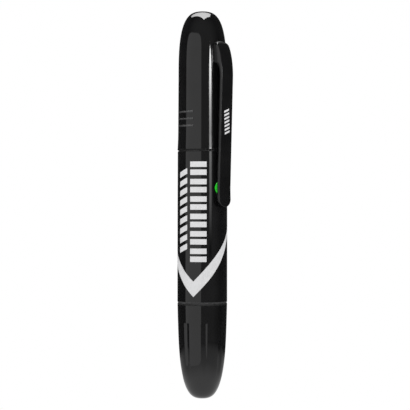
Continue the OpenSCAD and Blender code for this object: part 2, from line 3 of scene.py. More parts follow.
import bpy
import numpy as np
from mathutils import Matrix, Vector

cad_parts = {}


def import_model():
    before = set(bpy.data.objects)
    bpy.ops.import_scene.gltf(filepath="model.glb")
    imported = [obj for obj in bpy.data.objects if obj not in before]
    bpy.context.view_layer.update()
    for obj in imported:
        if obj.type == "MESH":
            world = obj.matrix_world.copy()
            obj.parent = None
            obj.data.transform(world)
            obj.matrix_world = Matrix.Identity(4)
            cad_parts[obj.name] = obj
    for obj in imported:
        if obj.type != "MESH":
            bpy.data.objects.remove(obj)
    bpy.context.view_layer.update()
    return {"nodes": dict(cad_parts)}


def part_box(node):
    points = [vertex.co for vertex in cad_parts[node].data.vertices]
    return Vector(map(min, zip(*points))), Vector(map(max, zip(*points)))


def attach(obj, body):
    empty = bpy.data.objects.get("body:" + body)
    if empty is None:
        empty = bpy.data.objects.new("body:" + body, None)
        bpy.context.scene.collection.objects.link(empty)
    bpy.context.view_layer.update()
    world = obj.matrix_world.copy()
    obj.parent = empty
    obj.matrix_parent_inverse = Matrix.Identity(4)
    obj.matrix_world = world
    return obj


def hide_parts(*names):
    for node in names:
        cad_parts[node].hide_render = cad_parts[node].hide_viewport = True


bl_info = {
    "name": "Counterfeit detector pen",
    "version": (1, 0, 0),
    "blender": (4, 5, 0),
    "location": "View3D > Sidebar > Pen",
    "description": "Builds the shells, the printing and the lamp of a detector pen round its packed frame",
    "category": "Object",
}

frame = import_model()
BOX = {node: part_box(node) for node in frame["nodes"]}

MM = 0.001
STEPS = 192  # faces round a turned piece
PEN_R = BOX["barrel"][1].x
BARREL_TOP = BOX["barrel"][1].z
CAP_MOUTH = BOX["top_cap"][0].z
CAP_TOP = BOX["top_cap"][1].z
NIB_CAP_MOUTH = BOX["nib_cap"][1].z
NIB_CAP_FOOT = BOX["nib_cap"][0].z
CLIP_TOP = BOX["pocket_clip"][1].z
CLIP_TIP = BOX["pocket_clip"][0].z
BUTTON_Z = (BOX["side_button"][0].z + BOX["side_button"][1].z) / 2
SIDE = math.atan2(BOX["pocket_clip"][1].y + BOX["pocket_clip"][0].y,
                  BOX["pocket_clip"][1].x + BOX["pocket_clip"][0].x)
CLIP_W = 5.8 * MM
CLIP_OUT = PEN_R + 3.75 * MM  # the strap's furthest face from the axis


# ---------------------------------------------------------------- sizes and colours

def length(name, description, default_mm):
    """A length in millimetres, kept in metres."""
    return bpy.props.FloatProperty(name=name, description=description, default=default_mm * MM,
                                   unit="LENGTH", subtype="DISTANCE", precision=5, min=0.0)


def heading(name, description, degrees):
    """A heading round the axis, in degrees from the front."""
    return bpy.props.FloatProperty(name=name, description=description, default=math.radians(degrees),
                                   subtype="ANGLE")


def power(name, description, default):
    """The power of a rounded end's curve."""
    return bpy.props.FloatProperty(name=name, description=description, default=default, min=2.0)


def count(name, description, default):
    """A count of like things."""
    return bpy.props.IntProperty(name=name, description=description, default=default, min=1)


def colour(name, description, *default):
    """A linear colour."""
    return bpy.props.FloatVectorProperty(name=name, description=description, default=default,
                                         subtype="COLOR", size=3, min=0.0, max=1.0)


class PenShellSizes(bpy.types.PropertyGroup):
    """Sizes of the barrel and the two caps."""

    barrel_wall: length("Barrel wall", "Wall of the barrel", 1.3)
    grip: length("Grip", "Straight part of the barrel above the nib cap", 31)
    barrel_draft: length("Barrel draft", "Radius that the barrel loses above its grip", 0.06)
    barrel_bevel: length("Barrel bevel", "Bevel on the upper edge of the barrel", 0.2)
    hole_r: length("Button hole", "Radius of the hole for the button", 2.36)
    button_r: length("Button", "Radius of the button", 2.28)
    rib_h: length("Rib height", "Height of a rib inside the barrel", 1.2)
    rib_t: length("Rib thickness", "Thickness of a rib inside the barrel", 1.0)
    rib_count: count("Ribs", "Ribs inside the barrel", 6)
    nib_cap_straight: length("Nib cap straight", "Straight part below the mouth", 5)
    nib_cap_draft: bpy.props.FloatProperty(name="Nib cap draft", default=0.025, min=0.0,
                                           description="Radius lost for each unit of length")
    nib_cap_power: power("Nib cap curve", "Power of the rounded end's curve", 3.074)
    nib_cap_wall: length("Nib cap wall", "Wall at the rounded end of the nib cap", 1.6)
    rim_bevel_h: length("Rim bevel height", "Height of the bevel round the nib cap's mouth", 0.65)
    rim_bevel_w: length("Rim bevel width", "Width of the bevel round the nib cap's mouth", 0.25)
    flutes: count("Flutes", "Flutes round the nib cap", 8)
    flute_w: length("Flute width", "Width of a flute at its upper end", 2.3)
    flute_depth: length("Flute depth", "Depth of a flute at its upper end", 0.3)
    flute_drop: length("Flute drop", "Distance from the mouth to the flutes", 7.25)
    flute_len: length("Flute length", "Length of a flute", 21)
    cap_waist: length("Cap waist", "How much slimmer than the barrel the top cap is", 0.19)
    cap_flare: length("Cap flare", "Length of the flare above the mouth", 5.7)
    cap_draft: length("Cap draft", "Radius lost between the flare and the dome", 0.11)
    cap_wall: length("Cap wall", "Wall of the top cap", 1.25)
    dome: length("Dome", "Length of the domed end", 24)
    dome_power: power("Dome curve", "Power of the dome's curve", 3.06)
    grip_rib_out: length("Grip rib", "How far a grip rib stands proud", 0.2)
    grip_rib_w: length("Grip rib width", "Width of a grip rib", 0.66)
    grip_rib_drop: length("Grip rib drop", "Distance from the cap's mouth to the lowest rib", 8.6)
    grip_rib_pitch: length("Grip rib pitch", "Distance from one grip rib to the next", 2.5)


class PenClipSizes(bpy.types.PropertyGroup):
    """Sizes of the pocket clip."""

    shoulder: length("Shoulder", "Length of the curved shoulder", 13)
    thickness: length("Thickness", "Thickness of the strap", 1.3)
    tip_rise: length("Tip rise", "Height of the strap's outer face above the barrel near its tip", 2.5)
    tip: length("Tip", "Length of the turned-out tip", 6)
    kick: length("Kick", "How far the tip turns out", 0.25)
    edge: length("Edge", "Radius of the strap's edges", 0.24)
    crown: length("Crown", "Height of the outer face's crown", 0.07)
    top_gap: length("Top gap", "How far the strap's top stays below the top of its space", 0.4)
    root: length("Root", "Length of the thick root below the clip's top", 8.2)
    seat: length("Seat", "Distance from the axis to the face that seats on the cap", 8.1)


class PenPrintSizes(bpy.types.PropertyGroup):
    """Sizes of the printing on the barrel and the clip."""

    film: length("Film", "Height of the ink above the plastic", 0.025)
    bar_groups: count("Bar groups", "Pairs of wide bars", 6)
    bar_low: length("Bars' low end", "Height of the lowest bar", 14.7)
    bar_high: length("Bars' high end", "Height of the upper side of the highest bar", 50.5)
    bar_tall: length("Bar", "Height of a bar", 1.95)
    bar_gap: length("Bar gap", "Gap between the two bars of a pair", 0.9)
    bar_from: heading("Bars from", "Heading of the bars' left end", -28.8)
    bar_to: heading("Bars to", "Heading of the bars' right end", 9.7)
    dash_count: count("Slanted dashes", "Slanted dashes beside the bars", 9)
    dash_low: length("Dashes' low end", "Height of the lowest dash", 18.5)
    dash_high: length("Dashes' high end", "Height of the upper side of the highest dash", 47.4)
    dash_tall: length("Dash", "Height of a slanted dash", 2.0)
    dash_from: heading("Dashes from", "Heading of the dashes' left end", -62)
    dash_to: heading("Dashes to", "Heading of the dashes' right end", -37)
    band_heading: heading("Band heading", "Heading of the lowest point of the V-shaped band", -20.8)


# The V-shaped band: arc from its lowest point, and heights of its lower and upper edges, in millimetres.
BAND = ((-22.5, 27.2, 27.3), (-18, 22.6, 24.4), (-14, 18.3, 21.5), (-10.5, 14.3, 18.6), (-8.28, 11.7, 16.3),
        (-7.2, 10.5, 15.2), (-6.4, 9.5, 14.35), (-5.0, 7.8, 12.85), (-3.93, 6.4, 11.5), (-2.5, 4.8, 10.1),
        (-1.2, 3.42, 8.83), (0, 2.2, 7.7), (1.14, 3.33, 8.86), (2.25, 4.44, 10.03), (3.34, 5.62, 11.2),
        (4.43, 6.83, 12.4), (5.54, 8.06, 13.65), (6.68, 9.43, 14.95), (7.89, 11, 16.32), (9.2, 12.79, 17.84),
        (10.7, 14.95, 19.6), (12.5, 17.75, 21.7), (14.1, 20.7, 23.7), (15.4, 22.9, 25.2), (17.4, 25.8, 27.4),
        (21, 31, 31.1))


class PenColours(bpy.types.PropertyGroup):
    """Colours of the finishes."""

    shell: colour("Shell", "Glossy black of the barrel and caps", 0.0065, 0.0065, 0.0068)
    clip: colour("Clip", "Black of the clip", 0.0075, 0.0075, 0.0078)
    printing: colour("Printing", "White ink", 0.85, 0.85, 0.86)
    button: colour("Button", "Green of the push button", 0.03, 0.56, 0.03)
    felt: colour("Felt", "Soaked felt of the nib", 0.010, 0.012, 0.022)
    floor: colour("Floor", "Floor that the pen stands on", 1.0, 1.0, 1.0)


# ---------------------------------------------------------------- finishes

class Nodes:
    """A node tree being made."""

    def node(self, kind, inputs=(), **settings):
        """A new node, with its settings and its inputs set or linked."""
        new = self.tree.nodes.new(kind)
        for key, value in settings.items():
            setattr(new, key, value)
        for key, value in dict(inputs).items():
            if isinstance(value, bpy.types.NodeSocket):
                self.tree.links.new(value, new.inputs[key])
            else:
                new.inputs[key].default_value = value
        return new


class Finish(Nodes):
    """A material being made, with its shader and the piece's own coordinates."""

    def __init__(self, name):
        self.material = bpy.data.materials.new(name)
        self.material.use_nodes = True
        self.tree = self.material.node_tree
        self.shader = self.tree.nodes["Principled BSDF"]
        self.place = self.node("ShaderNodeTexCoord").outputs["Object"]

    def into(self, socket, value):
        """Links an output to one of the shader's sockets."""
        self.tree.links.new(value, self.shader.inputs[socket])

    def stretched(self, scale):
        """The piece's coordinates, scaled along each axis."""
        return self.node("ShaderNodeMapping", {"Vector": self.place, "Scale": scale}).outputs["Vector"]

    def noise(self, scale, detail=3.0, roughness=0.5, vector=None):
        """Noise between about 0.3 and 0.7, with so many features for each metre."""
        return self.node("ShaderNodeTexNoise", {
            "Vector": vector or self.place, "Scale": scale, "Detail": detail, "Roughness": roughness,
        }).outputs["Fac"]

    def spread(self, value, low, high, start=0.3, end=0.7):
        """The value moved from the range start to end into the range low to high."""
        return self.node("ShaderNodeMapRange", {
            "Value": value, "From Min": start, "From Max": end, "To Min": low, "To Max": high,
        }).outputs["Result"]

    def mixed(self, share, first, second):
        """A colour between two colours."""
        node = self.node("ShaderNodeMix", data_type="RGBA")
        for socket, value in (("Factor_Float", share), ("A_Color", first), ("B_Color", second)):
            found = next(s for s in node.inputs if s.identifier == socket)
            if isinstance(value, bpy.types.NodeSocket):
                self.tree.links.new(value, found)
            else:
                found.default_value = value
        return next(s for s in node.outputs if s.identifier == "Result_Color")

    def added(self, first, second, operation="ADD"):
        """Two values put together."""
        return self.node("ShaderNodeMath", {0: first, 1: second}, operation=operation).outputs[0]

    def bump(self, height, depth, strength=1.0):
        """Gives the shader a bump of that depth in metres."""
        self.into("Normal", self.node("ShaderNodeBump", {
            "Height": height, "Distance": depth, "Strength": strength,
        }).outputs["Normal"])

    def ramp(self, place, levels):
        """A level that follows a list of places and levels."""
        node = self.node("ShaderNodeValToRGB", {"Fac": place})
        stops = node.color_ramp.elements
        while len(stops) < len(levels):
            stops.new(1.0)
        for stop, (where, level) in zip(stops, levels):
            stop.position = where
            stop.color = (level, level, level, 1.0)
        return node.outputs["Color"]

    def glowing(self, strength, tint=(1.0, 1.0, 1.0, 1.0)):
        """The material as plain light, with no surface of its own."""
        light = self.node("ShaderNodeEmission", {"Color": tint, "Strength": strength})
        self.tree.links.new(light.outputs["Emission"], self.tree.nodes["Material Output"].inputs["Surface"])
        self.tree.nodes.remove(self.shader)
        return self.material


def rgba(values, factor=1.0):
    """A colour with its alpha, made lighter or darker."""
    return (*[min(1.0, v * factor) for v in values[:3]], 1.0)


FINISHES = {}


def made_once(dress):
    """Makes a finish the first time its name is asked for, and hands the same one out after that."""
    def finish_named(name, *args, **kwargs):
        if name not in FINISHES:
            finish = Finish(name)
            dress(finish, *args, **kwargs)
            FINISHES[name] = finish.material
        return FINISHES[name]
    return finish_named


@made_once
def moulded(finish, tint, rough=(0.08, 0.16), vary=0.25, grain=900.0, depth=1.2e-6, scratches=0.06,
            worn=0.6, bands=(), **fixed):
    """Moulded plastic: uneven colour and gloss, a fine grain, faint scratches and worn edges. Each band is
    a range of heights with its own colour and roughness."""
    clouds = finish.noise(110.0, detail=4.0)
    shade = finish.mixed(finish.spread(clouds, 0.0, 1.0), rgba(tint, 1 - vary), rgba(tint, 1 + vary))
    edge = finish.spread(finish.node("ShaderNodeNewGeometry").outputs["Pointiness"], 0.0, worn, 0.53, 0.62)
    shade = finish.mixed(edge, shade, rgba([v * 1.6 + 0.012 for v in tint]))
    uneven = finish.spread(finish.noise(420.0, detail=4.0), 0.6, 1.0)
    height = finish.node("ShaderNodeSeparateXYZ", {"Vector": finish.place}).outputs["Z"]
    shares = []
    for low, high, band_tint, band_rough in bands:
        above = finish.added(height, low, "GREATER_THAN")
        below = finish.added(height, high, "LESS_THAN")
        inside = finish.added(above, below, "MULTIPLY")
        shade = finish.mixed(finish.added(inside, uneven, "MULTIPLY"), shade, rgba(band_tint))
        shares.append((inside, band_rough))
    finish.into("Base Color", shade)
    lines = finish.noise(1.0, detail=2.0, vector=finish.stretched((2600.0, 2600.0, 55.0)))
    scratch = finish.spread(lines, 0.0, scratches, 0.62, 0.72)
    smudge = finish.spread(finish.noise(260.0, detail=5.0, roughness=0.6), *rough)
    gloss = finish.added(smudge, scratch)
    for inside, band_rough in shares:
        gloss = finish.spread(inside, gloss, band_rough, 0.0, 1.0)
    finish.into("Roughness", gloss)
    finish.bump(finish.added(finish.noise(grain, detail=2.0), finish.added(scratch, 3.0, "MULTIPLY"),
                             "SUBTRACT"), depth)
    for socket, value in fixed.items():
        finish.shader.inputs[socket.replace("_", " ")].default_value = value


@made_once
def metal(finish, tint, rough=(0.22, 0.4), brushed=(400.0, 400.0, 400.0), vary=0.18, depth=1.5e-6,
          tarnish=0.25):
    """Metal with a grain that is brushed, drawn or rolled, and a little tarnish."""
    grain = finish.noise(4.0, detail=6.0, vector=finish.stretched(brushed))
    stain = finish.spread(finish.noise(300.0, detail=5.0), 0.0, tarnish, 0.48, 0.75)
    shade = finish.mixed(finish.spread(grain, 0.0, 1.0), rgba(tint, 1 - vary), rgba(tint, 1 + vary))
    finish.into("Base Color", finish.mixed(stain, shade, rgba([v * 0.45 for v in tint])))
    finish.into("Roughness", finish.added(finish.spread(grain, *rough), stain))
    finish.bump(grain, depth)
    finish.shader.inputs["Metallic"].default_value = 1.0


@made_once
def fibre(finish, tint, dark, scale=(2600.0, 2600.0, 240.0), depth=3e-5, rough=(0.7, 0.95)):
    """Bonded fibres that run along the pen."""
    strands = finish.noise(1.0, detail=5.0, roughness=0.65, vector=finish.stretched(scale))
    damp = finish.noise(160.0, detail=3.0)
    shade = finish.mixed(finish.spread(strands, 0.0, 1.0), rgba(dark), rgba(tint))
    finish.into("Base Color", finish.mixed(finish.spread(damp, 0.0, 0.5), shade, rgba(dark)))
    finish.into("Roughness", finish.spread(strands, *rough))
    finish.bump(strands, depth)


@made_once
def printed_ink(finish, tint):
    """Screen-printed ink: nearly even, with a faint mesh grain and tiny pinholes."""
    mesh = finish.noise(5200.0, detail=2.0)
    pits = finish.spread(finish.noise(3000.0, detail=1.0), 0.0, 0.35, 0.72, 0.8)
    shade = finish.mixed(finish.spread(finish.noise(500.0), 0.0, 1.0), rgba(tint, 0.95), rgba(tint, 1.03))
    finish.into("Base Color", finish.mixed(pits, shade, (0.1, 0.1, 0.1, 1.0)))
    finish.into("Roughness", finish.spread(mesh, 0.35, 0.55))
    finish.bump(mesh, 4e-6)


@made_once
def clear(finish, tint, rough=(0.01, 0.05), through=1.0, refraction=1.49):
    """Clear resin or plastic with faint flow marks."""
    flow = finish.noise(500.0, detail=3.0)
    finish.into("Base Color", finish.mixed(finish.spread(flow, 0.0, 1.0), rgba(tint, 0.93), rgba(tint, 1.04)))
    finish.into("Roughness", finish.spread(flow, *rough))
    finish.bump(flow, 1e-6)
    finish.shader.inputs["Transmission Weight"].default_value = through
    finish.shader.inputs["IOR"].default_value = refraction


@made_once
def board(finish, tint, copper):
    """Circuit board: solder mask over raised tracks, with a glass weave under it."""
    lanes = finish.node("ShaderNodeTexBrick", {
        "Vector": finish.stretched((700.0, 700.0, 420.0)), "Scale": 1.0, "Mortar Size": 0.12,
        "Mortar Smooth": 0.2, "Brick Width": 1.7, "Row Height": 0.9,
    }, offset=0.37).outputs["Fac"]
    weave = finish.noise(6000.0, detail=1.0)
    mask = finish.mixed(finish.spread(weave, 0.0, 1.0), rgba(tint, 0.8), rgba(tint, 1.15))
    finish.into("Base Color", finish.mixed(finish.spread(lanes, 0.75, 0.0, 0.0, 1.0), mask, rgba(copper)))
    finish.into("Roughness", finish.spread(weave, 0.25, 0.45))
    finish.bump(finish.added(lanes, -1.0, "MULTIPLY"), 2e-5)


# ---------------------------------------------------------------- making meshes

def eased(corners, radius=0.15 * MM, closed=True, arc=4):
    """An outline with its sharp corners rounded and a guard point on each side of each rounding."""
    points = [Vector(c[:2]) for c in corners]
    radii = [c[2] if len(c) > 2 else radius for c in corners]
    out = []
    for i, here in enumerate(points):
        at_end = not closed and i in (0, len(points) - 1)
        back, ahead = points[i - 1] - here, points[(i + 1) % len(points)] - here
        if at_end or back.length < 1e-9 or ahead.length < 1e-9:
            out.append(here)
            continue
        turn = math.pi - back.angle(ahead)
        if turn < math.radians(14) or radii[i] <= 0:
            out.append(here)
            continue
        reach = min(radii[i] * math.tan(turn / 2), 0.4 * back.length, 0.4 * ahead.length)
        guard = min(0.6 * reach, 0.1 * min(back.length, ahead.length))
        first, last = here + back.normalized() * reach, here + ahead.normalized() * reach
        out.append(first + back.normalized() * guard)
        for k in range(arc + 1):
            s = k / arc
            out.append(first * (1 - s) ** 2 + here * 2 * s * (1 - s) + last * s ** 2)
        out.append(last + ahead.normalized() * guard)
    return [(p.x, p.y) for p in out]


def even(points, gap):
    """A curve's points set out again at an even distance along it."""
    line = np.array(points, float)
    along = np.concatenate([[0.0], np.cumsum(np.linalg.norm(np.diff(line, axis=0), axis=1))])
    wanted = np.linspace(0.0, along[-1], max(2, int(along[-1] / gap) + 1))
    return [tuple(p) for p in np.stack([np.interp(wanted, along, line[:, k]) for k in (0, 1)], axis=1)]


def rounded_end(radius, z, reach, power, draft=0.0, gap=0.4 * MM):
    """Outline of a closed rounded end from its base at height z to its tip on the axis."""
    curve = []
    for k in range(361):
        t = math.radians(k / 4)
        rise = reach * math.sin(t) ** (2 / power)
        across = max(0.0, math.cos(t)) ** (2 / power) if k < 360 else 0.0
        curve.append(((radius - draft * abs(z + rise)) * across, z + rise))
    return even(curve, gap)


def turned(outline, angles=STEPS, keep=None):
    """Points and faces of a solid turned about the axis. Its outline goes from low to high on the outside."""
    turns = [math.tau * k / angles for k in range(angles)] if isinstance(angles, int) else angles
    steps = len(turns)
    points, rings, faces = [], [], []
    for r, z in outline:
        if r < 1e-8:
            rings.append([len(points)] * steps)
            points.append((0.0, 0.0, z))
        else:
            rings.append(list(range(len(points), len(points) + steps)))
            points += [(r * math.cos(a), r * math.sin(a), z) for a in turns]
    on_axis = outline[0][0] < 1e-8
    uppers = rings[1:] if on_axis else rings[1:] + rings[:1]
    for i, (low, high) in enumerate(zip(rings, uppers)):
        for k in range(steps):
            j = (k + 1) % steps
            if keep is None or keep(i, k):
                face = list(dict.fromkeys((low[k], low[j], high[j], high[k])))
                if len(face) > 2:
                    faces.append(face)
    return points, faces


def joined(*solids):
    """Several solids' points and faces as one."""
    points, faces = [], []
    for more_points, more_faces in solids:
        faces += [[v + len(points) for v in face] for face in more_faces]
        points += [tuple(p) for p in more_points]
    return points, faces


def turned_to(solid, heading, lift=0.0):
    """A solid turned about the axis and lifted."""
    points, faces = solid
    c, s = math.cos(heading), math.sin(heading)
    return [(x * c - y * s, x * s + y * c, z + lift) for x, y, z in points], faces


def laid_out(solid, heading, height):
    """A solid made about its own Z, turned to point outwards from the axis at a heading and height."""
    points, faces = solid
    return turned_to(([(z, x, y) for x, y, z in points], faces), heading, height)


def rounded_box(low, high, edge, arc=3):
    """A box with rounded edges, from its two corners."""
    low, high = Vector(low), Vector(high)
    centre, half = (low + high) / 2, (high - low) / 2
    edge = min(edge, *(0.45 * h for h in half))
    count = 2 * (arc + 1)
    ticks = [math.radians(-45 + 90 * k / arc) for k in range(arc + 1)]
    points, index, faces = [], {}, []

    def corner_point(sides, direction):
        core = Vector([s * (h - edge) for s, h in zip(sides, half)])
        key = tuple(round(v, 9) for v in core + direction * edge)
        if key not in index:
            index[key] = len(points)
            points.append(tuple(centre + core + direction * edge))
        return index[key]

    for axis in range(3):
        for side in (-1, 1):
            u, v = (axis + 1) % 3, (axis + 2) % 3
            grid = []
            for i in range(count):
                row = []
                for j in range(count):
                    tick_u, tick_v = ticks[i % (arc + 1)], ticks[j % (arc + 1)]
                    su, sv = (-1 if i <= arc else 1), (-1 if j <= arc else 1)
                    direction = Vector((0, 0, 0))
                    direction[axis] = side
                    direction[u] = (math.tan(tick_u) + su) / 2
                    direction[v] = (math.tan(tick_v) + sv) / 2
                    direction.normalize()
                    sides = [0, 0, 0]
                    sides[axis], sides[u], sides[v] = side, su, sv
                    row.append(corner_point(sides, direction))
                grid.append(row)
            for i in range(count - 1):
                for j in range(count - 1):
                    face = [grid[i][j], grid[i + 1][j], grid[i + 1][j + 1], grid[i][j + 1]]
                    face = list(dict.fromkeys(face))
                    if len(face) > 2:
                        faces.append(face if side > 0 else face[::-1])
    return points, faces


def meshed(name, solid):
    """A mesh from points and faces."""
    mesh = bpy.data.meshes.new(name)
    mesh.from_pydata([tuple(p) for p in solid[0]], [], [list(f) for f in solid[1]])
    return mesh


def smoothed(mesh, sharp=38.0):
    """Shades a mesh smooth except across sharp edges."""
    mesh.shade_smooth()
    mesh.set_sharp_from_angle(angle=math.radians(sharp))


def placed(name, data):
    """An object in the scene for a mesh or a camera."""
    obj = bpy.data.objects.new(name, data)
    bpy.context.scene.collection.objects.link(obj)
    return obj


def made(name, solid, finish):
    """An object from points and faces, with its finish."""
    mesh = meshed(name, solid)
    mesh.materials.append(finish)
    smoothed(mesh)
    return placed(name, mesh)


def settled(obj, body, slot, *nodes):
    """Lets a piece ride on its body, in place of its CAD nodes. The slot is not used."""
    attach(obj, body)
    if nodes:
        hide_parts(*nodes)
    return obj


def cut(obj, *cutters):
    """Cuts solids out of an object for good."""
    for solid in cutters:
        mesh = meshed("cutter", solid)
        tool = placed("cutter", mesh)
        change = obj.modifiers.new("cut", "BOOLEAN")
        change.operation = "DIFFERENCE"
        change.solver = "EXACT"
        change.object = tool
        fixed(obj)
        bpy.data.objects.remove(tool)
        bpy.data.meshes.remove(mesh)
    smoothed(obj.data, 30.0)


def fixed(obj):
    """Turns an object's modifiers into plain mesh."""
    old = obj.data
    graph = bpy.context.evaluated_depsgraph_get()
    graph.update()
    mesh = bpy.data.meshes.new_from_object(obj.evaluated_get(graph), depsgraph=graph)
    obj.modifiers.clear()
    obj.data = mesh
    bpy.data.meshes.remove(old)
    mesh.name = obj.name


# ---------------------------------------------------------------- node-built repeats

class Tree(Nodes):
    """A Geometry Nodes tree being made, with named inputs."""

    def __init__(self, name, **inputs):
        self.tree = bpy.data.node_groups.new(name, "GeometryNodeTree")
        self.values = inputs
        self.tree.interface.new_socket("Geometry", in_out="OUTPUT", socket_type="NodeSocketGeometry")
        for key, value in inputs.items():
            kind = "NodeSocketInt" if isinstance(value, int) else "NodeSocketFloat"
            if isinstance(value, bpy.types.Material):
                kind = "NodeSocketMaterial"
            self.tree.interface.new_socket(key.replace("_", " "), in_out="INPUT", socket_type=kind)
        self.given = self.tree.nodes.new("NodeGroupInput").outputs
        self.result = self.tree.nodes.new("NodeGroupOutput").inputs[0]

    def input(self, key):
        """The output of the group's input node for a named input."""
        return self.given[key.replace("_", " ")]

    def math(self, operation, first, second=0.0):
        """One sum."""
        return self.node("ShaderNodeMath", {0: first, 1: second}, operation=operation).outputs[0]

    def plus(self, first, second):
        """Two values added."""
        return self.math("ADD", first, second)

    def minus(self, first, second):
        """The second value taken from the first."""
        return self.math("SUBTRACT", first, second)

    def times(self, first, second):
        """Two values multiplied."""
        return self.math("MULTIPLY", first, second)

    def vector(self, x, y, z):
        """A vector from three values."""
        return self.node("ShaderNodeCombineXYZ", {"X": x, "Y": y, "Z": z}).outputs[0]

    def parts(self, vector):
        """The three values of a vector."""
        return self.node("ShaderNodeSeparateXYZ", {"Vector": vector}).outputs

    def polar(self, radius, angle, height):
        """A place at a radius and angle round the axis, and a height."""
        return self.vector(self.times(radius, self.math("COSINE", angle)),
                           self.times(radius, self.math("SINE", angle)), height)

    def copies(self, points, instance, turn=0.0):
        """A copy on each point, turned about the axis."""
        return self.node("GeometryNodeInstanceOnPoints", {
            "Points": points, "Instance": instance, "Rotation": self.vector(0.0, 0.0, turn)}).outputs[0]

    def built(self, name, geometry):
        """Realizes the geometry, gives it its material, and makes a plain object of it."""
        real = self.node("GeometryNodeRealizeInstances", {"Geometry": geometry})
        dressed = self.node("GeometryNodeSetMaterial", {"Geometry": real.outputs[0],
                                                        "Material": self.input("Finish")})
        self.tree.links.new(dressed.outputs[0], self.result)
        obj = placed(name, bpy.data.meshes.new(name))
        change = obj.modifiers.new(name, "NODES")
        change.node_group = self.tree
        for item in self.tree.interface.items_tree:
            if item.in_out == "INPUT":
                change[item.identifier] = self.values[item.name.replace(" ", "_")]
        fixed(obj)
        if not obj.data.polygons:
            raise RuntimeError(f"{name} came out empty")
        smoothed(obj.data)
        return obj


def coil(name, finish, turns, low_r, high_r, rise, start, wire, sides=12, points=40):
    """A wire wound round the axis from one radius to another, by a tree of nodes."""
    tree = Tree(name, Turns=float(turns), Low_radius=low_r, High_radius=high_r, Rise=rise, Start=start,
                Wire=wire, Finish=finish)
    count = int(turns * points)
    line = tree.node("GeometryNodeCurvePrimitiveLine")
    dense = tree.node("GeometryNodeResampleCurve", {"Curve": line.outputs[0], "Count": count})
    share = tree.node("GeometryNodeSplineParameter").outputs["Factor"]
    angle = tree.times(tree.times(share, tree.input("Turns")), math.tau)
    grow = tree.minus(tree.input("High_radius"), tree.input("Low_radius"))
    radius = tree.plus(tree.times(grow, share), tree.input("Low_radius"))
    height = tree.plus(tree.times(share, tree.input("Rise")), tree.input("Start"))
    wound = tree.node("GeometryNodeSetPosition", {
        "Geometry": dense.outputs[0], "Position": tree.polar(radius, angle, height)})
    ring = tree.node("GeometryNodeCurvePrimitiveCircle", {"Resolution": sides, "Radius": tree.input("Wire")})
    swept = tree.node("GeometryNodeCurveToMesh", {
        "Curve": wound.outputs[0], "Profile Curve": ring.outputs[0], "Fill Caps": True})
    return tree.built(name, swept.outputs[0])


def wrapped_marks(name, finish, count, low, pitch, tall, start, end, radius, film, lean, places=1, step=0.0):
    """Rows of marks laid flat, then wrapped round the barrel by a tree of nodes."""
    sink = 0.1 * MM
    tree = Tree(name, Count=count, Low=low, Pitch=pitch, Tall=tall, Start=start, End=end, Radius=radius,
                Film=film, Lean=lean, Places=places, Step=step, Finish=finish)
    thick = tree.plus(tree.input("Film"), sink)
    wide = tree.minus(tree.input("End"), tree.input("Start"))
    block = tree.node("GeometryNodeMeshCube", {
        "Size": tree.vector(wide, thick, tree.input("Tall")),
        "Vertices X": 25, "Vertices Y": 2, "Vertices Z": 2})
    inner = tree.node("GeometryNodeMeshLine", {
        "Count": tree.input("Places"), "Offset": tree.vector(0.0, 0.0, tree.input("Step"))})
    group = tree.copies(inner.outputs[0], block.outputs[0])
    outer = tree.node("GeometryNodeMeshLine", {
        "Count": tree.input("Count"), "Offset": tree.vector(0.0, 0.0, tree.input("Pitch"))})
    row = tree.copies(outer.outputs[0], group)
    real = tree.node("GeometryNodeRealizeInstances", {"Geometry": row})
    x, y, z = tree.parts(tree.node("GeometryNodeInputPosition").outputs[0])
    middle = tree.times(tree.plus(tree.input("Start"), tree.input("End")), 0.5)
    turn = tree.plus(x, middle)
    away = tree.minus(tree.plus(tree.input("Radius"), tree.input("Film")),
                      tree.plus(y, tree.times(thick, 0.5)))
    first = tree.plus(tree.input("Low"), tree.times(tree.input("Tall"), 0.5))
    height = tree.plus(tree.plus(z, first), tree.times(x, tree.input("Lean")))
    back = tree.times(tree.math("COSINE", turn), -1.0)
    place = tree.vector(tree.times(away, tree.math("SINE", turn)), tree.times(away, back), height)
    bent = tree.node("GeometryNodeSetPosition", {"Geometry": real.outputs[0], "Position": place})
    return tree.built(name, bent.outputs[0])


# ---------------------------------------------------------------- operators

class PEN_OT_barrel(bpy.types.Operator):
    """Make the barrel, with its button hole and the ribs inside it."""

    bl_idname = "pen.barrel"
    bl_label = "Barrel"

    def execute(self, context):
        s = context.scene.pen_shell
        inner = PEN_R - s.barrel_wall
        top = BARREL_TOP - s.barrel_bevel
        outline = eased([
            (inner, 0.0), (PEN_R, 0.0), (PEN_R, s.grip, 0.0), (PEN_R - s.barrel_draft, top),
            (PEN_R - s.barrel_draft - s.barrel_bevel, BARREL_TOP), (inner, BARREL_TOP),
        ], radius=0.12 * MM)
        shell = made("barrel_shell", turned(outline, 256), black())
        hole = turned(eased([(0, 0), (s.hole_r, 0), (s.hole_r, PEN_R * 1.5), (0, PEN_R * 1.5)], 0, False), 64)
        cut(shell, laid_out(hole, SIDE, BUTTON_Z))
        settled(shell, "barrel", "shell_black", "barrel")
        ribs = barrel_ribs(s, inner)
        settled(ribs, "barrel", "shell_black")
        return {"FINISHED"}


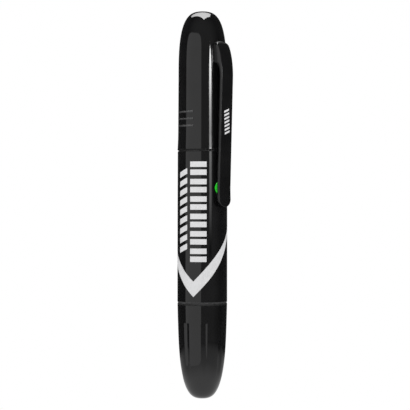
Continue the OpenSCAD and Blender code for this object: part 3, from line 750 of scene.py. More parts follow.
def black():
    """Glossy black of the shells: painted shade, dull and near black, where the top cap meets the barrel;
    darker and dull round the nib cap's mouth, with a painted highlight there as a grey ring.
    """
    tint = bpy.context.scene.pen_colours.shell
    # Painted shade: a near-black, fully rough band stands in for the shade in the gap where the top cap meets
    # the barrel.
    painted_seam_shade = (BARREL_TOP - 0.3 * MM, CAP_MOUTH + 0.32 * MM, (0.001, 0.001, 0.001), 1.0)
    dull = (NIB_CAP_MOUTH - 0.9 * MM, NIB_CAP_MOUTH + 0.35 * MM, (0.003, 0.003, 0.003), 0.75)
    # Painted highlight: a light grey, dull ring round the nib cap's mouth stands in for the light its bevel
    # catches.
    rim = (NIB_CAP_MOUTH - 0.28 * MM, NIB_CAP_MOUTH + 0.28 * MM, (0.07, 0.07, 0.072), 0.75)
    return moulded("shell_gloss_black", tint, rough=(0.045, 0.085), scratches=0.05, bands=(painted_seam_shade, dull, rim))


def barrel_ribs(s, inner):
    """The ribs that centre the ink reservoir, by a tree of nodes."""
    low, high = BOX["nib_section"][1].z, BOX["ink_reservoir"][1].z
    tree = Tree("barrel_ribs", Count=s.rib_count, Height=s.rib_h, Thickness=s.rib_t, Length=high - low,
                Low=low, Bore=inner, Finish=black())
    root = 0.3 * MM
    block = tree.node("GeometryNodeMeshCube", {
        "Size": tree.vector(tree.plus(tree.input("Height"), root), tree.input("Thickness"),
                            tree.input("Length")),
        "Vertices X": 3, "Vertices Y": 3, "Vertices Z": 12})
    away = tree.minus(tree.input("Bore"), tree.times(tree.minus(tree.input("Height"), root), 0.5))
    middle = tree.plus(tree.input("Low"), tree.times(tree.input("Length"), 0.5))
    moved = tree.node("GeometryNodeTransform", {
        "Geometry": block.outputs[0], "Translation": tree.vector(away, 0.0, middle)})
    line = tree.node("GeometryNodeMeshLine", {"Count": tree.input("Count"), "Offset": (0.0, 0.0, 0.0)})
    index = tree.node("GeometryNodeInputIndex").outputs[0]
    turn = tree.math("DIVIDE", tree.times(index, math.tau), tree.input("Count"))
    return tree.built("barrel_ribs", tree.copies(line.outputs[0], moved.outputs[0], turn))


class PEN_OT_printing(bpy.types.Operator):
    """Print the plain bars, the slanted dashes and the V-shaped band on the barrel."""

    bl_idname = "pen.printing"
    bl_label = "Printing"

    def execute(self, context):
        p, ink = context.scene.pen_print, printed_ink("ink_white", context.scene.pen_colours.printing)
        pitch = (p.bar_high - p.bar_low - 2 * p.bar_tall - p.bar_gap) / (p.bar_groups - 1)
        bars = wrapped_marks("print_bars", ink, p.bar_groups, p.bar_low, pitch, p.bar_tall, p.bar_from,
                             p.bar_to, PEN_R, p.film, 0.0, 2, p.bar_tall + p.bar_gap)
        settled(bars, "barrel", None)
        pitch = (p.dash_high - p.dash_low - p.dash_tall) / (p.dash_count - 1)
        dashes = wrapped_marks("print_dashes", ink, p.dash_count, p.dash_low, pitch, p.dash_tall, p.dash_from,
                               p.dash_to, PEN_R, p.film, 0.0035)
        settled(dashes, "barrel", None)
        settled(made("print_band", printed_band(p), ink), "barrel", None)
        return {"FINISHED"}


def printed_band(p):
    """A V-shaped band that tapers as it climbs round the barrel on both sides."""
    table = np.array(BAND) * MM
    arcs = sorted({*np.linspace(table[0, 0], 0, 60), *np.linspace(0, table[-1, 0], 60)})
    columns = [p.band_heading + arc / PEN_R for arc in arcs]
    points, faces = [], []
    for arc, heading in zip(arcs, columns):
        foot, head = (float(np.interp(arc, table[:, 0], table[:, k])) for k in (1, 2))
        for layer in (PEN_R + p.film, PEN_R - 0.1 * MM):
            for z in (foot, (foot + head) / 2, head):
                points.append((layer * math.sin(heading), -layer * math.cos(heading), z))
    for k in range(len(columns) - 1):
        a, b = 6 * k, 6 * (k + 1)
        faces += [(a, b, b + 1, a + 1), (a + 1, b + 1, b + 2, a + 2)]
        faces += [(a + 3, a + 4, b + 4, b + 3), (a + 4, a + 5, b + 5, b + 4)]
        faces += [(a, a + 3, b + 3, b), (a + 2, b + 2, b + 5, a + 5)]
    end = 6 * (len(columns) - 1)
    faces += [(0, 1, 4, 3), (1, 2, 5, 4)]
    faces += [(end, end + 3, end + 4, end + 1), (end + 1, end + 4, end + 5, end + 2)]
    return points, faces


class PEN_OT_nib_cap(bpy.types.Operator):
    """Make the fluted nib cap."""

    bl_idname = "pen.nib_cap"
    bl_label = "Nib cap"

    def execute(self, context):
        s = context.scene.pen_shell
        solid = fluted_cap(s)
        settled(made("nib_cap_shell", solid, black()), "nib_cap", "shell_black", "nib_cap")
        return {"FINISHED"}


def fluted_cap(s):
    """The nib cap: a rounded end with flutes that fade towards its tip."""
    reach = NIB_CAP_FOOT + s.nib_cap_straight
    outer = rounded_end(PEN_R, -s.nib_cap_straight, reach, s.nib_cap_power, s.nib_cap_draft)[::-1]
    neck_z, mouth_r = -9.3 * MM, 8.2 * MM
    inner_r = 7.6 * MM
    hollow = rounded_end(inner_r + s.nib_cap_draft * -neck_z, -s.nib_cap_straight,
                         reach + s.nib_cap_wall, s.nib_cap_power, s.nib_cap_draft, gap=0.8 * MM)
    hollow = [p for p in hollow if p[1] < neck_z - 0.2 * MM]
    bevel_low = NIB_CAP_MOUTH - s.rim_bevel_h
    rim = eased([outer[-1], (PEN_R - s.nib_cap_draft * s.rim_bevel_h, bevel_low, 0.06 * MM),
                 (PEN_R - s.rim_bevel_w, NIB_CAP_MOUTH, 0.08 * MM), (mouth_r, NIB_CAP_MOUTH),
                 (inner_r, neck_z, 0.0), hollow[0]], radius=0.12 * MM, closed=False)
    outline = outer[:-1] + rim + hollow[1:]
    half = s.flute_w / 2 / (PEN_R - s.nib_cap_draft * s.flute_drop)
    sector = math.tau / s.flutes
    first = math.radians(5 - 90)
    beside = [0.2, 0.4, 0.6, 0.8, 0.92, 0.98, 1.04, 1.12]
    inside = [-k for k in beside[::-1]] + [0] + beside
    rest = (sector - 2 * 1.12 * half) / 10
    offsets = [half * k for k in inside] + [1.12 * half + rest * (k + 1) for k in range(9)]
    angles = [first + sector * k + off for k in range(s.flutes) for off in offsets]
    outline = with_rows(outline, len(outer) - 1, -s.flute_drop, 0.4 * MM)
    points, faces = turned(outline, angles)
    soft = 0.02 * MM
    moved = []
    for x, y, z in points:
        r = math.hypot(x, y)
        surface = (PEN_R + s.nib_cap_draft * z) * 0.5
        drop = (-z - s.flute_drop) / s.flute_len
        if r > max(surface, 0.1 * MM) and 0 < drop < 1 and r > outer_radius(outer, z) - 0.2 * MM:
            off = (math.atan2(y, x) - first + sector / 2) % sector - sector / 2
            deep = s.flute_depth * (1 - drop ** 2) * min(1.0, drop * s.flute_len / (0.05 * MM))
            arc = deep * (1 - (off / half) ** 2)
            dent = 0.5 * (arc + math.hypot(arc, soft)) - 0.5 * soft * math.exp(-abs(off / half))
            dent = max(0.0, dent) if abs(off) < 1.3 * half else 0.0
            x, y = x * (1 - dent / r), y * (1 - dent / r)
        moved.append((x, y, z))
    return moved, faces


def with_rows(outline, last, height, spread):
    """The outline with close rows round one height, among its first points."""
    rows = [height + spread * k for k in (-1.0, -0.5, -0.16, -0.08, 0.01, 0.3)]
    zs = [p[1] for p in outline[:last + 1]]
    rs = [p[0] for p in outline[:last + 1]]
    kept = [p for p in outline[:last + 1] if abs(p[1] - height) > 1.1 * spread]
    added = [(float(np.interp(z, zs, rs)), z) for z in rows]
    return sorted(kept + added, key=lambda p: p[1]) + outline[last + 1:]


def outer_radius(outer, z):
    """Radius of an outline at a height."""
    return float(np.interp(z, [p[1] for p in outer], [p[0] for p in outer]))


class PEN_OT_top_cap(bpy.types.Operator):
    """Make the domed top cap with its recess for the clip and its grip ribs."""

    bl_idname = "pen.top_cap"
    bl_label = "Top cap"

    def execute(self, context):
        s = context.scene.pen_shell
        shell = made("top_cap_shell", turned(cap_outline(s), 256), black())
        clip = context.scene.pen_clip
        half = CLIP_W / 2 + 0.25 * MM
        seat, foot = clip.seat - 0.1 * MM, 2.5 * MM
        recess = rounded_box((seat, -half, CLIP_TOP - clip.root - 0.4 * MM),
                             (PEN_R * 1.4, half, CLIP_TOP - 0.2 * MM), 0.9 * MM, arc=6)
        slot = rounded_box((seat - 3 * MM, -foot, CLIP_TOP - 7.5 * MM), (PEN_R, foot, CLIP_TOP - 1.9 * MM),
                           0.1 * MM)
        cut(shell, turned_to(recess, SIDE), turned_to(slot, SIDE))
        settled(shell, "top_cap", "shell_black", "top_cap")
        settled(cap_grip_ribs(s), "top_cap", "shell_black")
        return {"FINISHED"}


def cap_outline(s):
    """Outline of the top cap from the axis inside, down its inner wall, and up its outside to the top."""
    body = PEN_R - s.cap_waist
    dome_r, dome_z = body - s.cap_draft, CAP_TOP - s.dome
    bead, lip = 0.05 * MM, 0.55 * MM
    dome = rounded_end(dome_r, dome_z, s.dome, s.dome_power)
    inner = body - s.cap_wall
    hollow_z = dome_z - 4 * MM
    hollow = rounded_end(inner, hollow_z, CAP_TOP - 2 * MM - hollow_z, s.dome_power, gap=0.8 * MM)
    mouth_r = PEN_R - 1 * MM
    sleeve_top = CAP_MOUTH + 8.05 * MM
    corners = [hollow[0], (inner, sleeve_top), (mouth_r, sleeve_top), (mouth_r, CAP_MOUTH),
               (PEN_R - 0.15 * MM, CAP_MOUTH, 0.08 * MM), (PEN_R + bead, CAP_MOUTH + 0.2 * MM, 0.1 * MM),
               (PEN_R, CAP_MOUTH + lip, 0.1 * MM)]
    flare_z = CAP_MOUTH + s.cap_flare
    flare = [(body + (PEN_R - body) * (1 - k / 12) ** 1.4, CAP_MOUTH + lip + (s.cap_flare - lip) * k / 12)
             for k in range(1, 13)]
    straight = [(body - s.cap_draft * k / 8, flare_z + (dome_z - flare_z) * k / 8) for k in range(1, 8)]
    mouth = eased(corners + flare[:1], 0.1 * MM, closed=False)
    return hollow[::-1][:-1] + mouth + flare[1:] + straight + dome


def cap_grip_ribs(s):
    """Two sets of short ribs across the cap, by a tree of nodes."""
    low = CAP_MOUTH + s.grip_rib_drop
    # Painted highlight: the grip ribs are lighter grey than the shell, standing in for the light they catch;
    # they are also rougher.
    tree = Tree("cap_grip_ribs", Count=3, Low=low, Pitch=s.grip_rib_pitch, Proud=s.grip_rib_out,
                Width=s.grip_rib_w, Radius=PEN_R - s.cap_waist - 0.02 * MM, Arc=math.radians(45),
                Heading=SIDE - math.pi / 2, Finish=moulded("rib_rubbed_black", (0.05, 0.05, 0.051),
                                                           rough=(0.34, 0.46), scratches=0.1))
    line = tree.node("GeometryNodeCurvePrimitiveLine")
    dense = tree.node("GeometryNodeResampleCurve", {"Curve": line.outputs[0], "Count": 33})
    share = tree.node("GeometryNodeSplineParameter").outputs["Factor"]
    turn = tree.plus(tree.input("Heading"), tree.times(tree.minus(share, 0.5), tree.input("Arc")))
    place = tree.polar(tree.input("Radius"), turn, tree.input("Low"))
    arc = tree.node("GeometryNodeSetPosition", {"Geometry": dense.outputs[0], "Position": place})
    off_middle = tree.math("ABSOLUTE", tree.minus(tree.times(share, 2.0), 1.0))
    ends = tree.minus(1.0, tree.math("POWER", off_middle, 8.0))
    sized = tree.node("GeometryNodeSetCurveRadius", {
        "Curve": arc.outputs[0], "Radius": tree.math("MAXIMUM", ends, 0.05)})
    level = tree.node("GeometryNodeSetCurveNormal", {"Curve": sized.outputs[0]}, mode="Z_UP")
    ring = tree.node("GeometryNodeCurvePrimitiveCircle", {"Resolution": 20, "Radius": 1.0})
    oval = tree.node("GeometryNodeTransform", {
        "Geometry": ring.outputs[0],
        "Scale": tree.vector(tree.input("Proud"), tree.times(tree.input("Width"), 0.5), 1.0)})
    swept = tree.node("GeometryNodeCurveToMesh", {
        "Curve": level.outputs[0], "Profile Curve": oval.outputs[0], "Fill Caps": True})
    stack = tree.node("GeometryNodeMeshLine", {
        "Count": tree.input("Count"), "Offset": tree.vector(0.0, 0.0, tree.input("Pitch"))})
    one = tree.copies(stack.outputs[0], swept.outputs[0])
    sides = tree.node("GeometryNodeMeshLine", {"Count": 2, "Offset": (0.0, 0.0, 0.0)})
    half = tree.times(tree.node("GeometryNodeInputIndex").outputs[0], math.pi)
    return tree.built("cap_grip_ribs", tree.copies(sides.outputs[0], one, half))


class PEN_OT_pocket_clip(bpy.types.Operator):
    """Make the pocket clip with its foot, its bead and its row of plain dashes."""

    bl_idname = "pen.pocket_clip"
    bl_label = "Pocket clip"

    def execute(self, context):
        clip = context.scene.pen_clip
        tint = context.scene.pen_colours.clip
        # Painted shade: the clip's top 1.4 mm is darker, and rougher, which dims the glint on its top corner.
        root = (CLIP_TOP - 1.4 * MM, CLIP_TOP, (0.002, 0.002, 0.002), 0.32)
        finish = moulded("clip_gloss_black", tint, rough=(0.14, 0.2), scratches=0.08, bands=(root,))
        strap = clip_strap(clip)
        foot = rounded_box((clip.seat - 0.65 * MM, -2.3 * MM, CLIP_TOP - 7.3 * MM),
                           (clip.seat + 0.5 * MM, 2.3 * MM, CLIP_TOP - 2.1 * MM), 0.1 * MM)
        bead_z, bead_r = CLIP_TIP + 4.2 * MM, 0.8 * MM
        bead = turned(eased([(0, -2.4 * MM), (bead_r, -2.4 * MM), (bead_r, 2.4 * MM), (0, 2.4 * MM)],
                            0.35 * MM, False), 32)
        across = [(PEN_R + 0.5 * MM + bead_r + x, z, bead_z - y) for x, y, z in bead[0]], bead[1]
        solid = turned_to(joined(strap, foot, across), SIDE)
        settled(made("pocket_clip_strap", solid, finish), "clip", "clip_black", "pocket_clip")
        ink = printed_ink("ink_white", context.scene.pen_colours.printing)
        settled(made("clip_dashes", clip_dashes(clip, context.scene.pen_print.film), ink), "clip", None)
        return {"FINISHED"}


def clip_outer(clip, z):
    """Distance from the axis to the clip's outer face at a height."""
    top_r, high_r, low_r = 8.2 * MM, CLIP_OUT, PEN_R + clip.tip_rise
    knee, bend = CLIP_TOP - clip.shoulder, CLIP_TIP + clip.tip
    if z > knee:
        return top_r + (high_r - top_r) * math.sqrt(max(0.0, 1 - ((z - knee) / clip.shoulder) ** 2))
    if z > bend:
        return low_r + (high_r - low_r) * (z - bend) / (knee - bend)
    return low_r + clip.kick * (bend - z) / clip.tip


def clip_inner(clip, z):
    """Distance from the axis to the clip's inner face at a height."""
    knee, root = CLIP_TOP - clip.shoulder, CLIP_TOP - clip.root
    under, start = CLIP_OUT - clip.thickness, clip.seat + 0.8 * MM
    if z > root:
        return clip.seat
    if z > knee:
        return start + (under - start) * math.sqrt(max(0.0, 1 - ((z - knee) / (root - knee)) ** 2))
    return clip_outer(clip, z) - clip.thickness


def clip_rows(clip, inset):
    """Heights and half widths of the clip's outline seen from outside, drawn in by an inset."""
    half = CLIP_W / 2
    low, high = CLIP_TIP, CLIP_TOP - clip.top_gap
    knee, root = CLIP_TOP - clip.shoulder, CLIP_TOP - clip.root
    corner, power = 1.7 * MM, 2.2
    rows = []
    for k in range(17):
        t = math.pi / 2 * k / 16
        rows.append((low + inset + (half - inset) * (1 - math.cos(t)), (half - inset) * math.sin(t)))
    straight = low + half
    heights = list(np.linspace(straight, knee, 24)[1:])
    heights += [knee + (root - knee) * math.sin(math.pi / 2 * k / 10) for k in range(1, 11)]
    heights += [root + 0.04 * MM]
    last = math.asin((root + 0.04 * MM - knee) / clip.shoulder)
    end = math.asin((high - corner - knee) / clip.shoulder)
    heights += [knee + clip.shoulder * math.sin(last + (end - last) * k / 8) for k in range(1, 9)]
    rows += [(z, half - inset) for z in heights]
    for k in range(1, 13):
        t = math.pi / 2 * k / 12
        rows.append((high - corner + (corner - inset) * math.sin(t) ** (2 / power),
                     (half - inset) * max(0.0, math.cos(t)) ** (2 / power) if k < 12 else 0.0))
    return rows


def clip_strap(clip):
    """The strap: outer and inner faces on the same rows, with rounded edges between them."""
    columns, arc = 8, 5
    points, faces = [], []
    layers = []
    bends = [math.pi / 2 * k / arc for k in range(arc + 1)]
    levels = [(clip.edge * (1 - math.sin(bend)), clip.edge * (1 - math.cos(bend))) for bend in bends]
    levels = [(inset, deep, True) for inset, deep in levels] + [
        (inset, deep, False) for inset, deep in levels[::-1]]

    def distance(z, across, deep, outside):
        outer, inner = clip_outer(clip, z), clip_inner(clip, z)
        share = min(deep, 0.45 * (outer - inner))
        if outside:
            return outer - share - clip.crown * (across / (CLIP_W / 2)) ** 2
        return inner + share

    for inset, deep, outside in levels:
        rows = clip_rows(clip, inset)
        loop = []
        for side in (1, -1):
            picked = rows[:-1] if side > 0 else rows[:0:-1]
            for z, half in picked:
                loop.append(len(points))
                points.append((distance(z, half, deep, outside), side * half, z))
        layers.append(loop)
    for low, high in zip(layers, layers[1:]):
        for k in range(len(low)):
            j = (k + 1) % len(low)
            faces.append((low[k], high[k], high[j], low[j]))
    count = len(clip_rows(clip, 0.0))
    for loop, outside in ((layers[0], True), (layers[-1], False)):
        inset, deep = (levels[0] if outside else levels[-1])[:2]
        rows = clip_rows(clip, inset)
        grid = [[loop[0]] * (columns + 1)]
        for k in range(1, count - 1):
            right, left = loop[k], loop[len(loop) - k]
            row = [right]
            for c in range(1, columns):
                across = rows[k][1] * (1 - 2 * c / columns)
                row.append(len(points))
                points.append((distance(rows[k][0], across, deep, outside), across, rows[k][0]))
            grid.append(row + [left])
        grid.append([loop[count - 1]] * (columns + 1))
        for low, high in zip(grid, grid[1:]):
            for c in range(columns):
                face = list(dict.fromkeys((low[c], high[c], high[c + 1], low[c + 1])))
                if len(face) > 2:
                    faces.append(face[::-1] if outside else face)
    return points, [list(f)[::-1] for f in faces]


def clip_dashes(clip, film):
    """A ladder of short plain slanted dashes on the clip's outer face."""
    solids = []
    half, tall, lean, thick = 1.2 * MM, 0.72 * MM, 0.4, 0.3 * MM
    foot, pitch, aside, drift = 60.5, 1.28, 0.35, 0.09  # millimetres
    for k in range(7):
        low, middle = (foot + pitch * k) * MM, (aside - drift * k) * MM
        corners = (0, middle - half, low), (thick, middle + half, low + tall)
        points, faces = rounded_box(*corners, 0.02 * MM, arc=1)
        placed_at = []
        for x, y, z in points:
            z += lean * (y - middle)
            face = clip_outer(clip, z) - clip.crown * (y / (CLIP_W / 2)) ** 2
            placed_at.append((face + film - thick + x, y, z))
        solids.append((placed_at, faces))
    return turned_to(joined(*solids), SIDE)


class PEN_OT_push_button(bpy.types.Operator):
    """Make the green push button."""

    bl_idname = "pen.push_button"
    bl_label = "Push button"

    def execute(self, context):
        low = BOX["side_button"][0]
        high = BOX["side_button"][1]
        r = context.scene.pen_shell.button_r
        crown = PEN_R + 0.35 * MM
        lip_r = (high.z - low.z) / 2
        bore, lip_corner = 7.7 * MM, 2.9 * MM
        lip_low = math.sqrt(bore ** 2 - lip_corner ** 2) - 0.58 * MM
        shares = [1 - k / 12 for k in range(1, 13)]
        rim = r - 0.22 * MM
        domed = [(rim * u, crown - 0.24 * MM * u ** 2) for u in shares]
        cap = even([(rim, crown - 0.30 * MM)] + domed, 0.2 * MM)
        outline = eased([(0, lip_low), (lip_r, lip_low), (lip_r, lip_low + 0.5 * MM), (r, lip_low + 0.5 * MM),
                         (r, crown - 0.36 * MM, 0.25 * MM), cap[0]], 0.1 * MM, closed=False) + cap[1:]
        # Painted light: the emission makes the button glow, though there is no lamp in it.
        finish = moulded("button_green", context.scene.pen_colours.button, rough=(0.2, 0.32), vary=0.12,
                         grain=1800.0, worn=0.1, Subsurface_Weight=0.2, Subsurface_Scale=0.002,
                         Emission_Color=(0.01, 0.5, 0.015, 1.0), Emission_Strength=0.5)
        button = made("button_cap", laid_out(turned(outline, 96), SIDE, BUTTON_Z), finish)
        settled(button, "button", "button_green", "side_button")
        return {"FINISHED"}


class PEN_OT_nib_end(bpy.types.Operator):
    """Make the nib section with its rings and nozzle, and the felt nib."""

    bl_idname = "pen.nib_end"
    bl_label = "Nib end"

    def execute(self, context):
        neck = moulded("neck_satin_black", context.scene.pen_colours.shell, rough=(0.16, 0.26), grain=2200.0,
                       depth=2e-6)
        settled(made("nib_holder", nib_holder(), neck), "barrel", "neck_black", "nib_section")
        felt = fibre("nib_felt", context.scene.pen_colours.felt, (0.002, 0.002, 0.005))
        settled(made("felt_nib", felt_nib(), felt), "barrel", "nib_felt", "nib")
        return {"FINISHED"}


def nib_holder():
    """The neck that the nib cap grips, its two rings, and the concave nozzle."""
    bore, top = 7.7 * MM, BOX["nib_section"][1].z
    foot = BOX["nib_section"][0].z
    neck_r, end_r, neck = 8.1 * MM, 7.3 * MM, 9.3 * MM
    mouth_r, nib_r, shoulder = 3.4 * MM, 2.5 * MM, 6.8 * MM
    start, fall = -neck - 0.3 * MM, foot + neck + 0.8 * MM
    nozzle = [(mouth_r + (shoulder - mouth_r) * (1 - k / 20) ** 2, start + fall * k / 20) for k in range(21)]
    rings, proud, edge = [], 0.1 * MM, 0.04 * MM
    for z in (-neck + 2 * MM, -neck + 3.4 * MM):
        r = neck_r - 0.8 * MM * -z / neck
        rings += [(r, z - 0.05 * MM), (r + proud, z, edge), (r + proud, z + 0.5 * MM, edge),
                  (r + proud / 2, z + 0.55 * MM)]
    corners = [(nib_r, foot, 0.1 * MM), (mouth_r - 0.1 * MM, foot, 0.08 * MM),
               (mouth_r + 0.12 * MM, foot + 0.35 * MM)]
    corners += nozzle[::-1] + [(end_r, -neck, 0.25 * MM)] + rings
    corners += [(neck_r, -0.02 * MM, 0.05 * MM), (bore, 0.0), (bore, top), (bore - 0.95 * MM, top),
                (bore - 0.95 * MM, 0.0), (4.8 * MM, 0.0, 0.3 * MM), (4.8 * MM, -neck + 4 * MM, 0.5 * MM),
                (nib_r, -neck + 1 * MM, 0.3 * MM)]
    return turned(eased(corners, 0.1 * MM))


def felt_nib():
    """The felt nib: a shaft that narrows past the nozzle to a blunt, worn bullet."""
    low, high = BOX["nib"][0].z, BOX["nib"][1].z
    r, out = 2.5 * MM, BOX["nib_section"][0].z
    body = rounded_end(r - 0.25 * MM, (out + low) / 2, low - (out + low) / 2, 2.2, gap=0.12 * MM)[::-1]
    outline = body + eased([body[-1], (r, out - 0.4 * MM, 0.5 * MM), (r, high, 0.2 * MM), (0, high)],
                           0.1 * MM, closed=False)[1:]
    points, faces = turned(outline, 144)
    worn = []
    for x, y, z in points:
        depth = max(0.0, (out - z) / (out - low))
        turn = math.atan2(y, x)
        fuzz = 0.018 * MM * depth * math.sin(41 * turn + 900 * z) * math.sin(17 * turn)
        r = math.hypot(x, y)
        if r > 1e-7:
            x, y = x * (1 + fuzz / max(r, 1 * MM)), y * (1 + fuzz / max(r, 1 * MM))
        worn.append((x, y, z))
    return worn, faces


class PEN_OT_lamp_end(bpy.types.Operator):
    """Make the thread on the lamp's nose and the spring under the cells."""

    bl_idname = "pen.lamp_end"
    bl_label = "Lamp end"

    def execute(self, context):
        nose_r, top = 6.03 * MM, BOX["lamp_housing"][1].z
        thread = coil("nose_thread", housing_grey(), turns=3.6, low_r=nose_r, high_r=nose_r, rise=4.5 * MM,
                      start=top - 4.75 * MM, wire=0.08 * MM, sides=8, points=72)
        settled(thread, "barrel", "housing_grey")
        low, high = BOX["battery_spring"]
        wire = 0.25 * MM
        wide = high.x - wire
        steel = metal("spring_steel", (0.6, 0.61, 0.63))
        spring = coil("spring_coil", steel, turns=3.5, low_r=wide, high_r=wide - 1.35 * MM,
                      rise=high.z - low.z - 2 * wire, start=low.z + wire, wire=wire, sides=16, points=48)
        settled(spring, "barrel", "spring_steel", "battery_spring")
        return {"FINISHED"}


def housing_grey():
    """Satin dark grey of the lamp's housing."""
    return moulded("housing_grey", (0.018, 0.018, 0.02), rough=(0.3, 0.5), grain=2500.0, depth=4e-6)


class PEN_OT_frame_finishes(bpy.types.Operator):
    """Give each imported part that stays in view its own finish."""

    bl_idname = "pen.frame_finishes"
    bl_label = "Finishes of the inner parts"

    def execute(self, context):
        steel = metal("spring_steel", (0.6, 0.61, 0.63))
        cell = metal("cell_nickel", (0.68, 0.68, 0.67), rough=(0.12, 0.28), tarnish=0.15)
        gold = metal("contact_gilt", (0.72, 0.5, 0.2), rough=(0.15, 0.3))
        green = board("board_mask", (0.012, 0.11, 0.035), (0.03, 0.2, 0.06))
        finishes = {
            "ink_reservoir": fibre("reservoir_fibre", (0.8, 0.78, 0.72), (0.45, 0.43, 0.4)),
            "reservoir_film": moulded("wrap_film", (0.62, 0.64, 0.68), rough=(0.12, 0.25), vary=0.06),
            "reservoir_plug": moulded("plug_rubber", (0.05, 0.05, 0.052), rough=(0.55, 0.75), depth=4e-6),
            "nib_cap_liner": moulded("liner_white", (0.74, 0.74, 0.72), rough=(0.3, 0.42), vary=0.05),
            "cap_inner_sleeve": moulded("sleeve_grey", (0.08, 0.08, 0.083), rough=(0.3, 0.45)),
            "switch_plunger": moulded("switch_cream", (0.78, 0.74, 0.6), rough=(0.35, 0.5), vary=0.06),
            "switch_body": metal("switch_cover", (0.55, 0.55, 0.54), rough=(0.3, 0.45)),
            "switch_board": green,
            "lamp_board": green,
            "indicator_led": clear("indicator_resin", (0.75, 0.95, 0.72), through=0.8),
            "switch_carrier": moulded("carrier_grey", (0.2, 0.2, 0.21), rough=(0.4, 0.55)),
            "spring_plate": steel,
            "battery_spring": steel,
            "cell_1": cell,
            "cell_2": cell,
            "cell_3": cell,
            "contact_disc": gold,
            "return_strip": gold,
            "lamp_housing": housing_grey(),
            "board_resistor": moulded("part_black", (0.012, 0.012, 0.013), rough=(0.35, 0.5)),
            "uv_led": clear("lamp_resin", (0.66, 0.6, 0.92), rough=(0.01, 0.03), refraction=1.53),
            "reflector": metal("reflector_chrome", (0.86, 0.86, 0.87), rough=(0.03, 0.09), tarnish=0.04,
                               depth=3e-7),
            "lamp_lens": clear("lens_clear", (0.97, 0.97, 0.99)),
            "bezel_o_ring": moulded("seal_rubber", (0.012, 0.012, 0.012), rough=(0.55, 0.7), depth=4e-6),
            "lamp_bezel": moulded("bezel_satin_black", (0.02, 0.02, 0.022), rough=(0.25, 0.38), depth=2e-6),
        }
        for name, finish in finishes.items():
            part = frame["nodes"][name]
            if not part.hide_render:
                part.data.materials.clear()
                part.data.materials.append(finish)
        return {"FINISHED"}


class PEN_OT_stage(bpy.types.Operator):
    """Set the floor, the soft lights and the camera."""

    bl_idname = "pen.stage"
    bl_label = "Floor, lights and camera"

    def execute(self, context):
        scene = context.scene
        middle = Vector((0, 0, (NIB_CAP_FOOT + CAP_TOP) / 2))
        edge = 0.118
        disc = turned([(0, -1 * MM), (edge - 1 * MM, -1 * MM), (edge, -0.5 * MM), (edge, 0), (0, 0)], 96)
        floor = made("floor", disc, floor_white(scene.pen_colours.floor))
        floor.location.z = NIB_CAP_FOOT - 0.05 * MM
        floor.visible_camera = False
        room()
        soft_panel("side_softbox", heading=-40.2, span=70.0, away=0.04, low=NIB_CAP_FOOT + 0.3 * MM,
                   high=0.1128, foot=0.005, shoulder=0.012, power=4.0, strength=0.87)
        soft_panel("strip_light", heading=36.3, span=10.6, away=0.12, low=0.012, high=0.123, foot=0.0,
                   shoulder=0.036, power=1.1, strength=22.0,
                   fade=((0.03, 0.0), (0.09, 0.0105), (0.167, 0.046), (0.225, 0.08), (0.342, 0.122),
                         (0.466, 0.18), (0.586, 0.36), (0.636, 0.47), (0.716, 0.83), (0.784, 1.0)))
        overhead(middle)
        world(scene)
        camera = placed("camera", bpy.data.cameras.new("camera"))
        camera.data.lens = 114.3
        camera.data.sensor_width = 36.0
        camera.data.clip_start, camera.data.clip_end = 0.01, 10.0
        camera.location = (0.945 * MM, -0.472, middle.z)
        camera.rotation_euler = (math.pi / 2, 0.0, 0.0)
        camera.rotation_euler.rotate_axis("Z", math.radians(0.065))
        scene.camera = camera
        scene.view_settings.view_transform = "Standard"
        scene.view_settings.look = "None"
        return {"FINISHED"}


def floor_white(tint):
    """White floor, with a glow round the pen's foot that its gloss picks up."""
    reach, centre = 0.12, (0.0, -0.008, 0.0)
    finish = Finish("floor_white")
    away = finish.node("ShaderNodeVectorMath", {0: finish.place, 1: centre}, operation="DISTANCE")
    fade = ((0.0, 1.0), (0.015, 0.95), (0.025, 0.78), (0.04, 0.52), (0.06, 0.44), (0.08, 0.38), (0.095, 0.25),
            (0.115, 0.03))
    glow = finish.ramp(finish.added(away.outputs["Value"], reach, "DIVIDE"),
                       [(place / reach, level) for place, level in fade])
    path = finish.node("ShaderNodeLightPath")
    level = finish.node("ShaderNodeMapRange", {"Value": path.outputs["Is Camera Ray"], "To Max": 1.0,
                                               "To Min": glow})
    return finish.glowing(level.outputs["Result"], rgba(tint))


def room():
    """The dim room that the gloss reflects: a little lighter in front of the pen than behind it."""
    far = 1.8
    finish = Finish("room_dim")
    depth = finish.node("ShaderNodeSeparateXYZ", {"Vector": finish.place}).outputs["Y"]
    in_front, behind = 0.165, 0.03
    level = finish.spread(depth, in_front, behind, start=-1.1, end=-0.1)
    arc = [(far * math.sin(math.pi * k / 24), -far * math.cos(math.pi * k / 24)) for k in range(25)]
    arc[0], arc[-1] = (0.0, -far), (0.0, far)
    unseen(made("room", turned(arc, 48), finish.glowing(level)))


def lamp_cloth(name, strength, fade=None):
    """The glowing cloth of a soft light, which may fade from its low end to its high end."""
    finish = Finish(name)
    if not fade:
        return finish.glowing(strength)
    across = finish.node("ShaderNodeSeparateXYZ", {"Vector": finish.node("ShaderNodeUVMap").outputs["UV"]})
    return finish.glowing(finish.added(finish.ramp(across.outputs["Y"], fade), strength, "MULTIPLY"))


def unseen(obj):
    """Keeps an object out of the camera's sight and out of matt surfaces' light."""
    obj.visible_camera = False
    obj.visible_diffuse = False


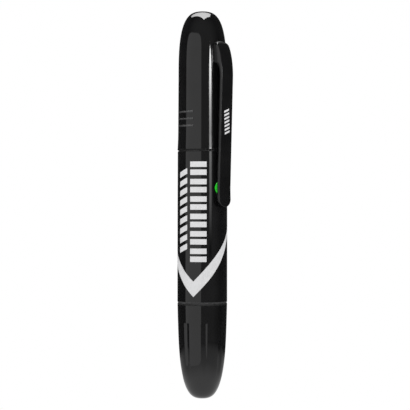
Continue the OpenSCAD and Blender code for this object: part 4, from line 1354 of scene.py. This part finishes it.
def soft_panel(name, heading, span, away, low, high, foot, shoulder, power, strength, fade=None):
    """A tall soft light, curved round the pen, whose ends draw in by its foot and shoulder at its sides."""
    columns = 40
    points = []
    for k in range(columns + 1):
        across = 2 * k / columns - 1
        a = math.radians(heading + span * across / 2)
        fall = 1 - math.sqrt(max(0.0, 1 - abs(across) ** power))
        ends = (low + foot * fall, high - shoulder * fall)
        points += [(away * math.sin(a), -away * math.cos(a), z) for z in ends]
    faces = [(2 * k, 2 * k + 1, 2 * k + 3, 2 * k + 2) for k in range(columns)]
    places = [(k // 2 / columns, (point[2] - low) / (high - low)) for k, point in enumerate(points)]
    hung(name, (points, faces), places, lamp_cloth(name, strength, fade))


def hung(name, solid, places, cloth):
    """Hangs a soft light whose points lie at these places on its cloth."""
    mesh = meshed(name, solid)
    layer = mesh.uv_layers.new(name="UVMap")
    for loop in mesh.loops:
        layer.data[loop.index].uv = places[loop.vertex_index]
    mesh.materials.append(cloth)
    unseen(placed(name, mesh))


def overhead(middle):
    """The large soft light over the pen, with a corner that points to the front."""
    lift, front, deep = 0.965, -0.55, 1.3
    corners = [(0.118, -0.547), (0.516, 0.008), (0.42, 0.62), (-0.7, 0.75), (-0.766, 0.365)]
    solid = [(x, y, middle.z + lift) for x, y in corners], [(0, 4, 3, 2, 1)]
    places = [(x + 0.8, (y - front) / deep) for x, y in corners]
    fade = ((0.0, 1.0), (0.4, 0.72), (0.7, 0.4), (1.0, 0.22))
    hung("overhead", solid, places, lamp_cloth("overhead", 15.0, fade))


def world(scene):
    """White behind the pen, soft light on matt surfaces, and a dim room in the reflections."""
    scene.world = bpy.data.worlds.new("studio")
    scene.world.use_nodes = True
    studio = Nodes()
    studio.tree = scene.world.node_tree
    path = studio.node("ShaderNodeLightPath")
    matt = studio.node("ShaderNodeMapRange", {
        "Value": path.outputs["Is Diffuse Ray"], "To Min": 0.03, "To Max": 0.95})
    seen = studio.node("ShaderNodeMix", {
        "Factor": path.outputs["Is Camera Ray"], "A": matt.outputs["Result"], "B": 1.0})
    back = studio.tree.nodes["Background"]
    back.inputs["Color"].default_value = (1.0, 1.0, 1.0, 1.0)
    studio.tree.links.new(seen.outputs["Result"], back.inputs["Strength"])


class PEN_PT_panel(bpy.types.Panel):
    """The pen's pieces and sizes."""

    bl_idname = "PEN_PT_panel"
    bl_label = "Counterfeit detector pen"
    bl_space_type = "VIEW_3D"
    bl_region_type = "UI"
    bl_category = "Pen"

    def draw(self, context):
        for operator in OPERATORS:
            self.layout.operator(operator.bl_idname)
        for group in ("pen_shell", "pen_clip", "pen_print", "pen_colours"):
            values = getattr(context.scene, group)
            column = self.layout.column(align=True)
            for key in values.__annotations__:
                column.prop(values, key)


OPERATORS = (PEN_OT_barrel, PEN_OT_printing, PEN_OT_nib_cap, PEN_OT_top_cap, PEN_OT_pocket_clip,
             PEN_OT_push_button, PEN_OT_nib_end, PEN_OT_lamp_end, PEN_OT_frame_finishes, PEN_OT_stage)
GROUPS = {"pen_shell": PenShellSizes, "pen_clip": PenClipSizes, "pen_print": PenPrintSizes,
          "pen_colours": PenColours}


def register():
    """Registers the sizes, the operators and the panel."""
    for name, group in GROUPS.items():
        bpy.utils.register_class(group)
        setattr(bpy.types.Scene, name, bpy.props.PointerProperty(type=group))
    for kind in (*OPERATORS, PEN_PT_panel):
        bpy.utils.register_class(kind)


def unregister():
    """Takes them away again."""
    for kind in (PEN_PT_panel, *OPERATORS[::-1]):
        bpy.utils.unregister_class(kind)
    for name, group in GROUPS.items():
        delattr(bpy.types.Scene, name)
        bpy.utils.unregister_class(group)


def main():
    """Builds every piece."""
    register()
    for operator in OPERATORS:
        family, name = operator.bl_idname.split(".")
        getattr(getattr(bpy.ops, family), name)()


if __name__ == "__main__":
    main()
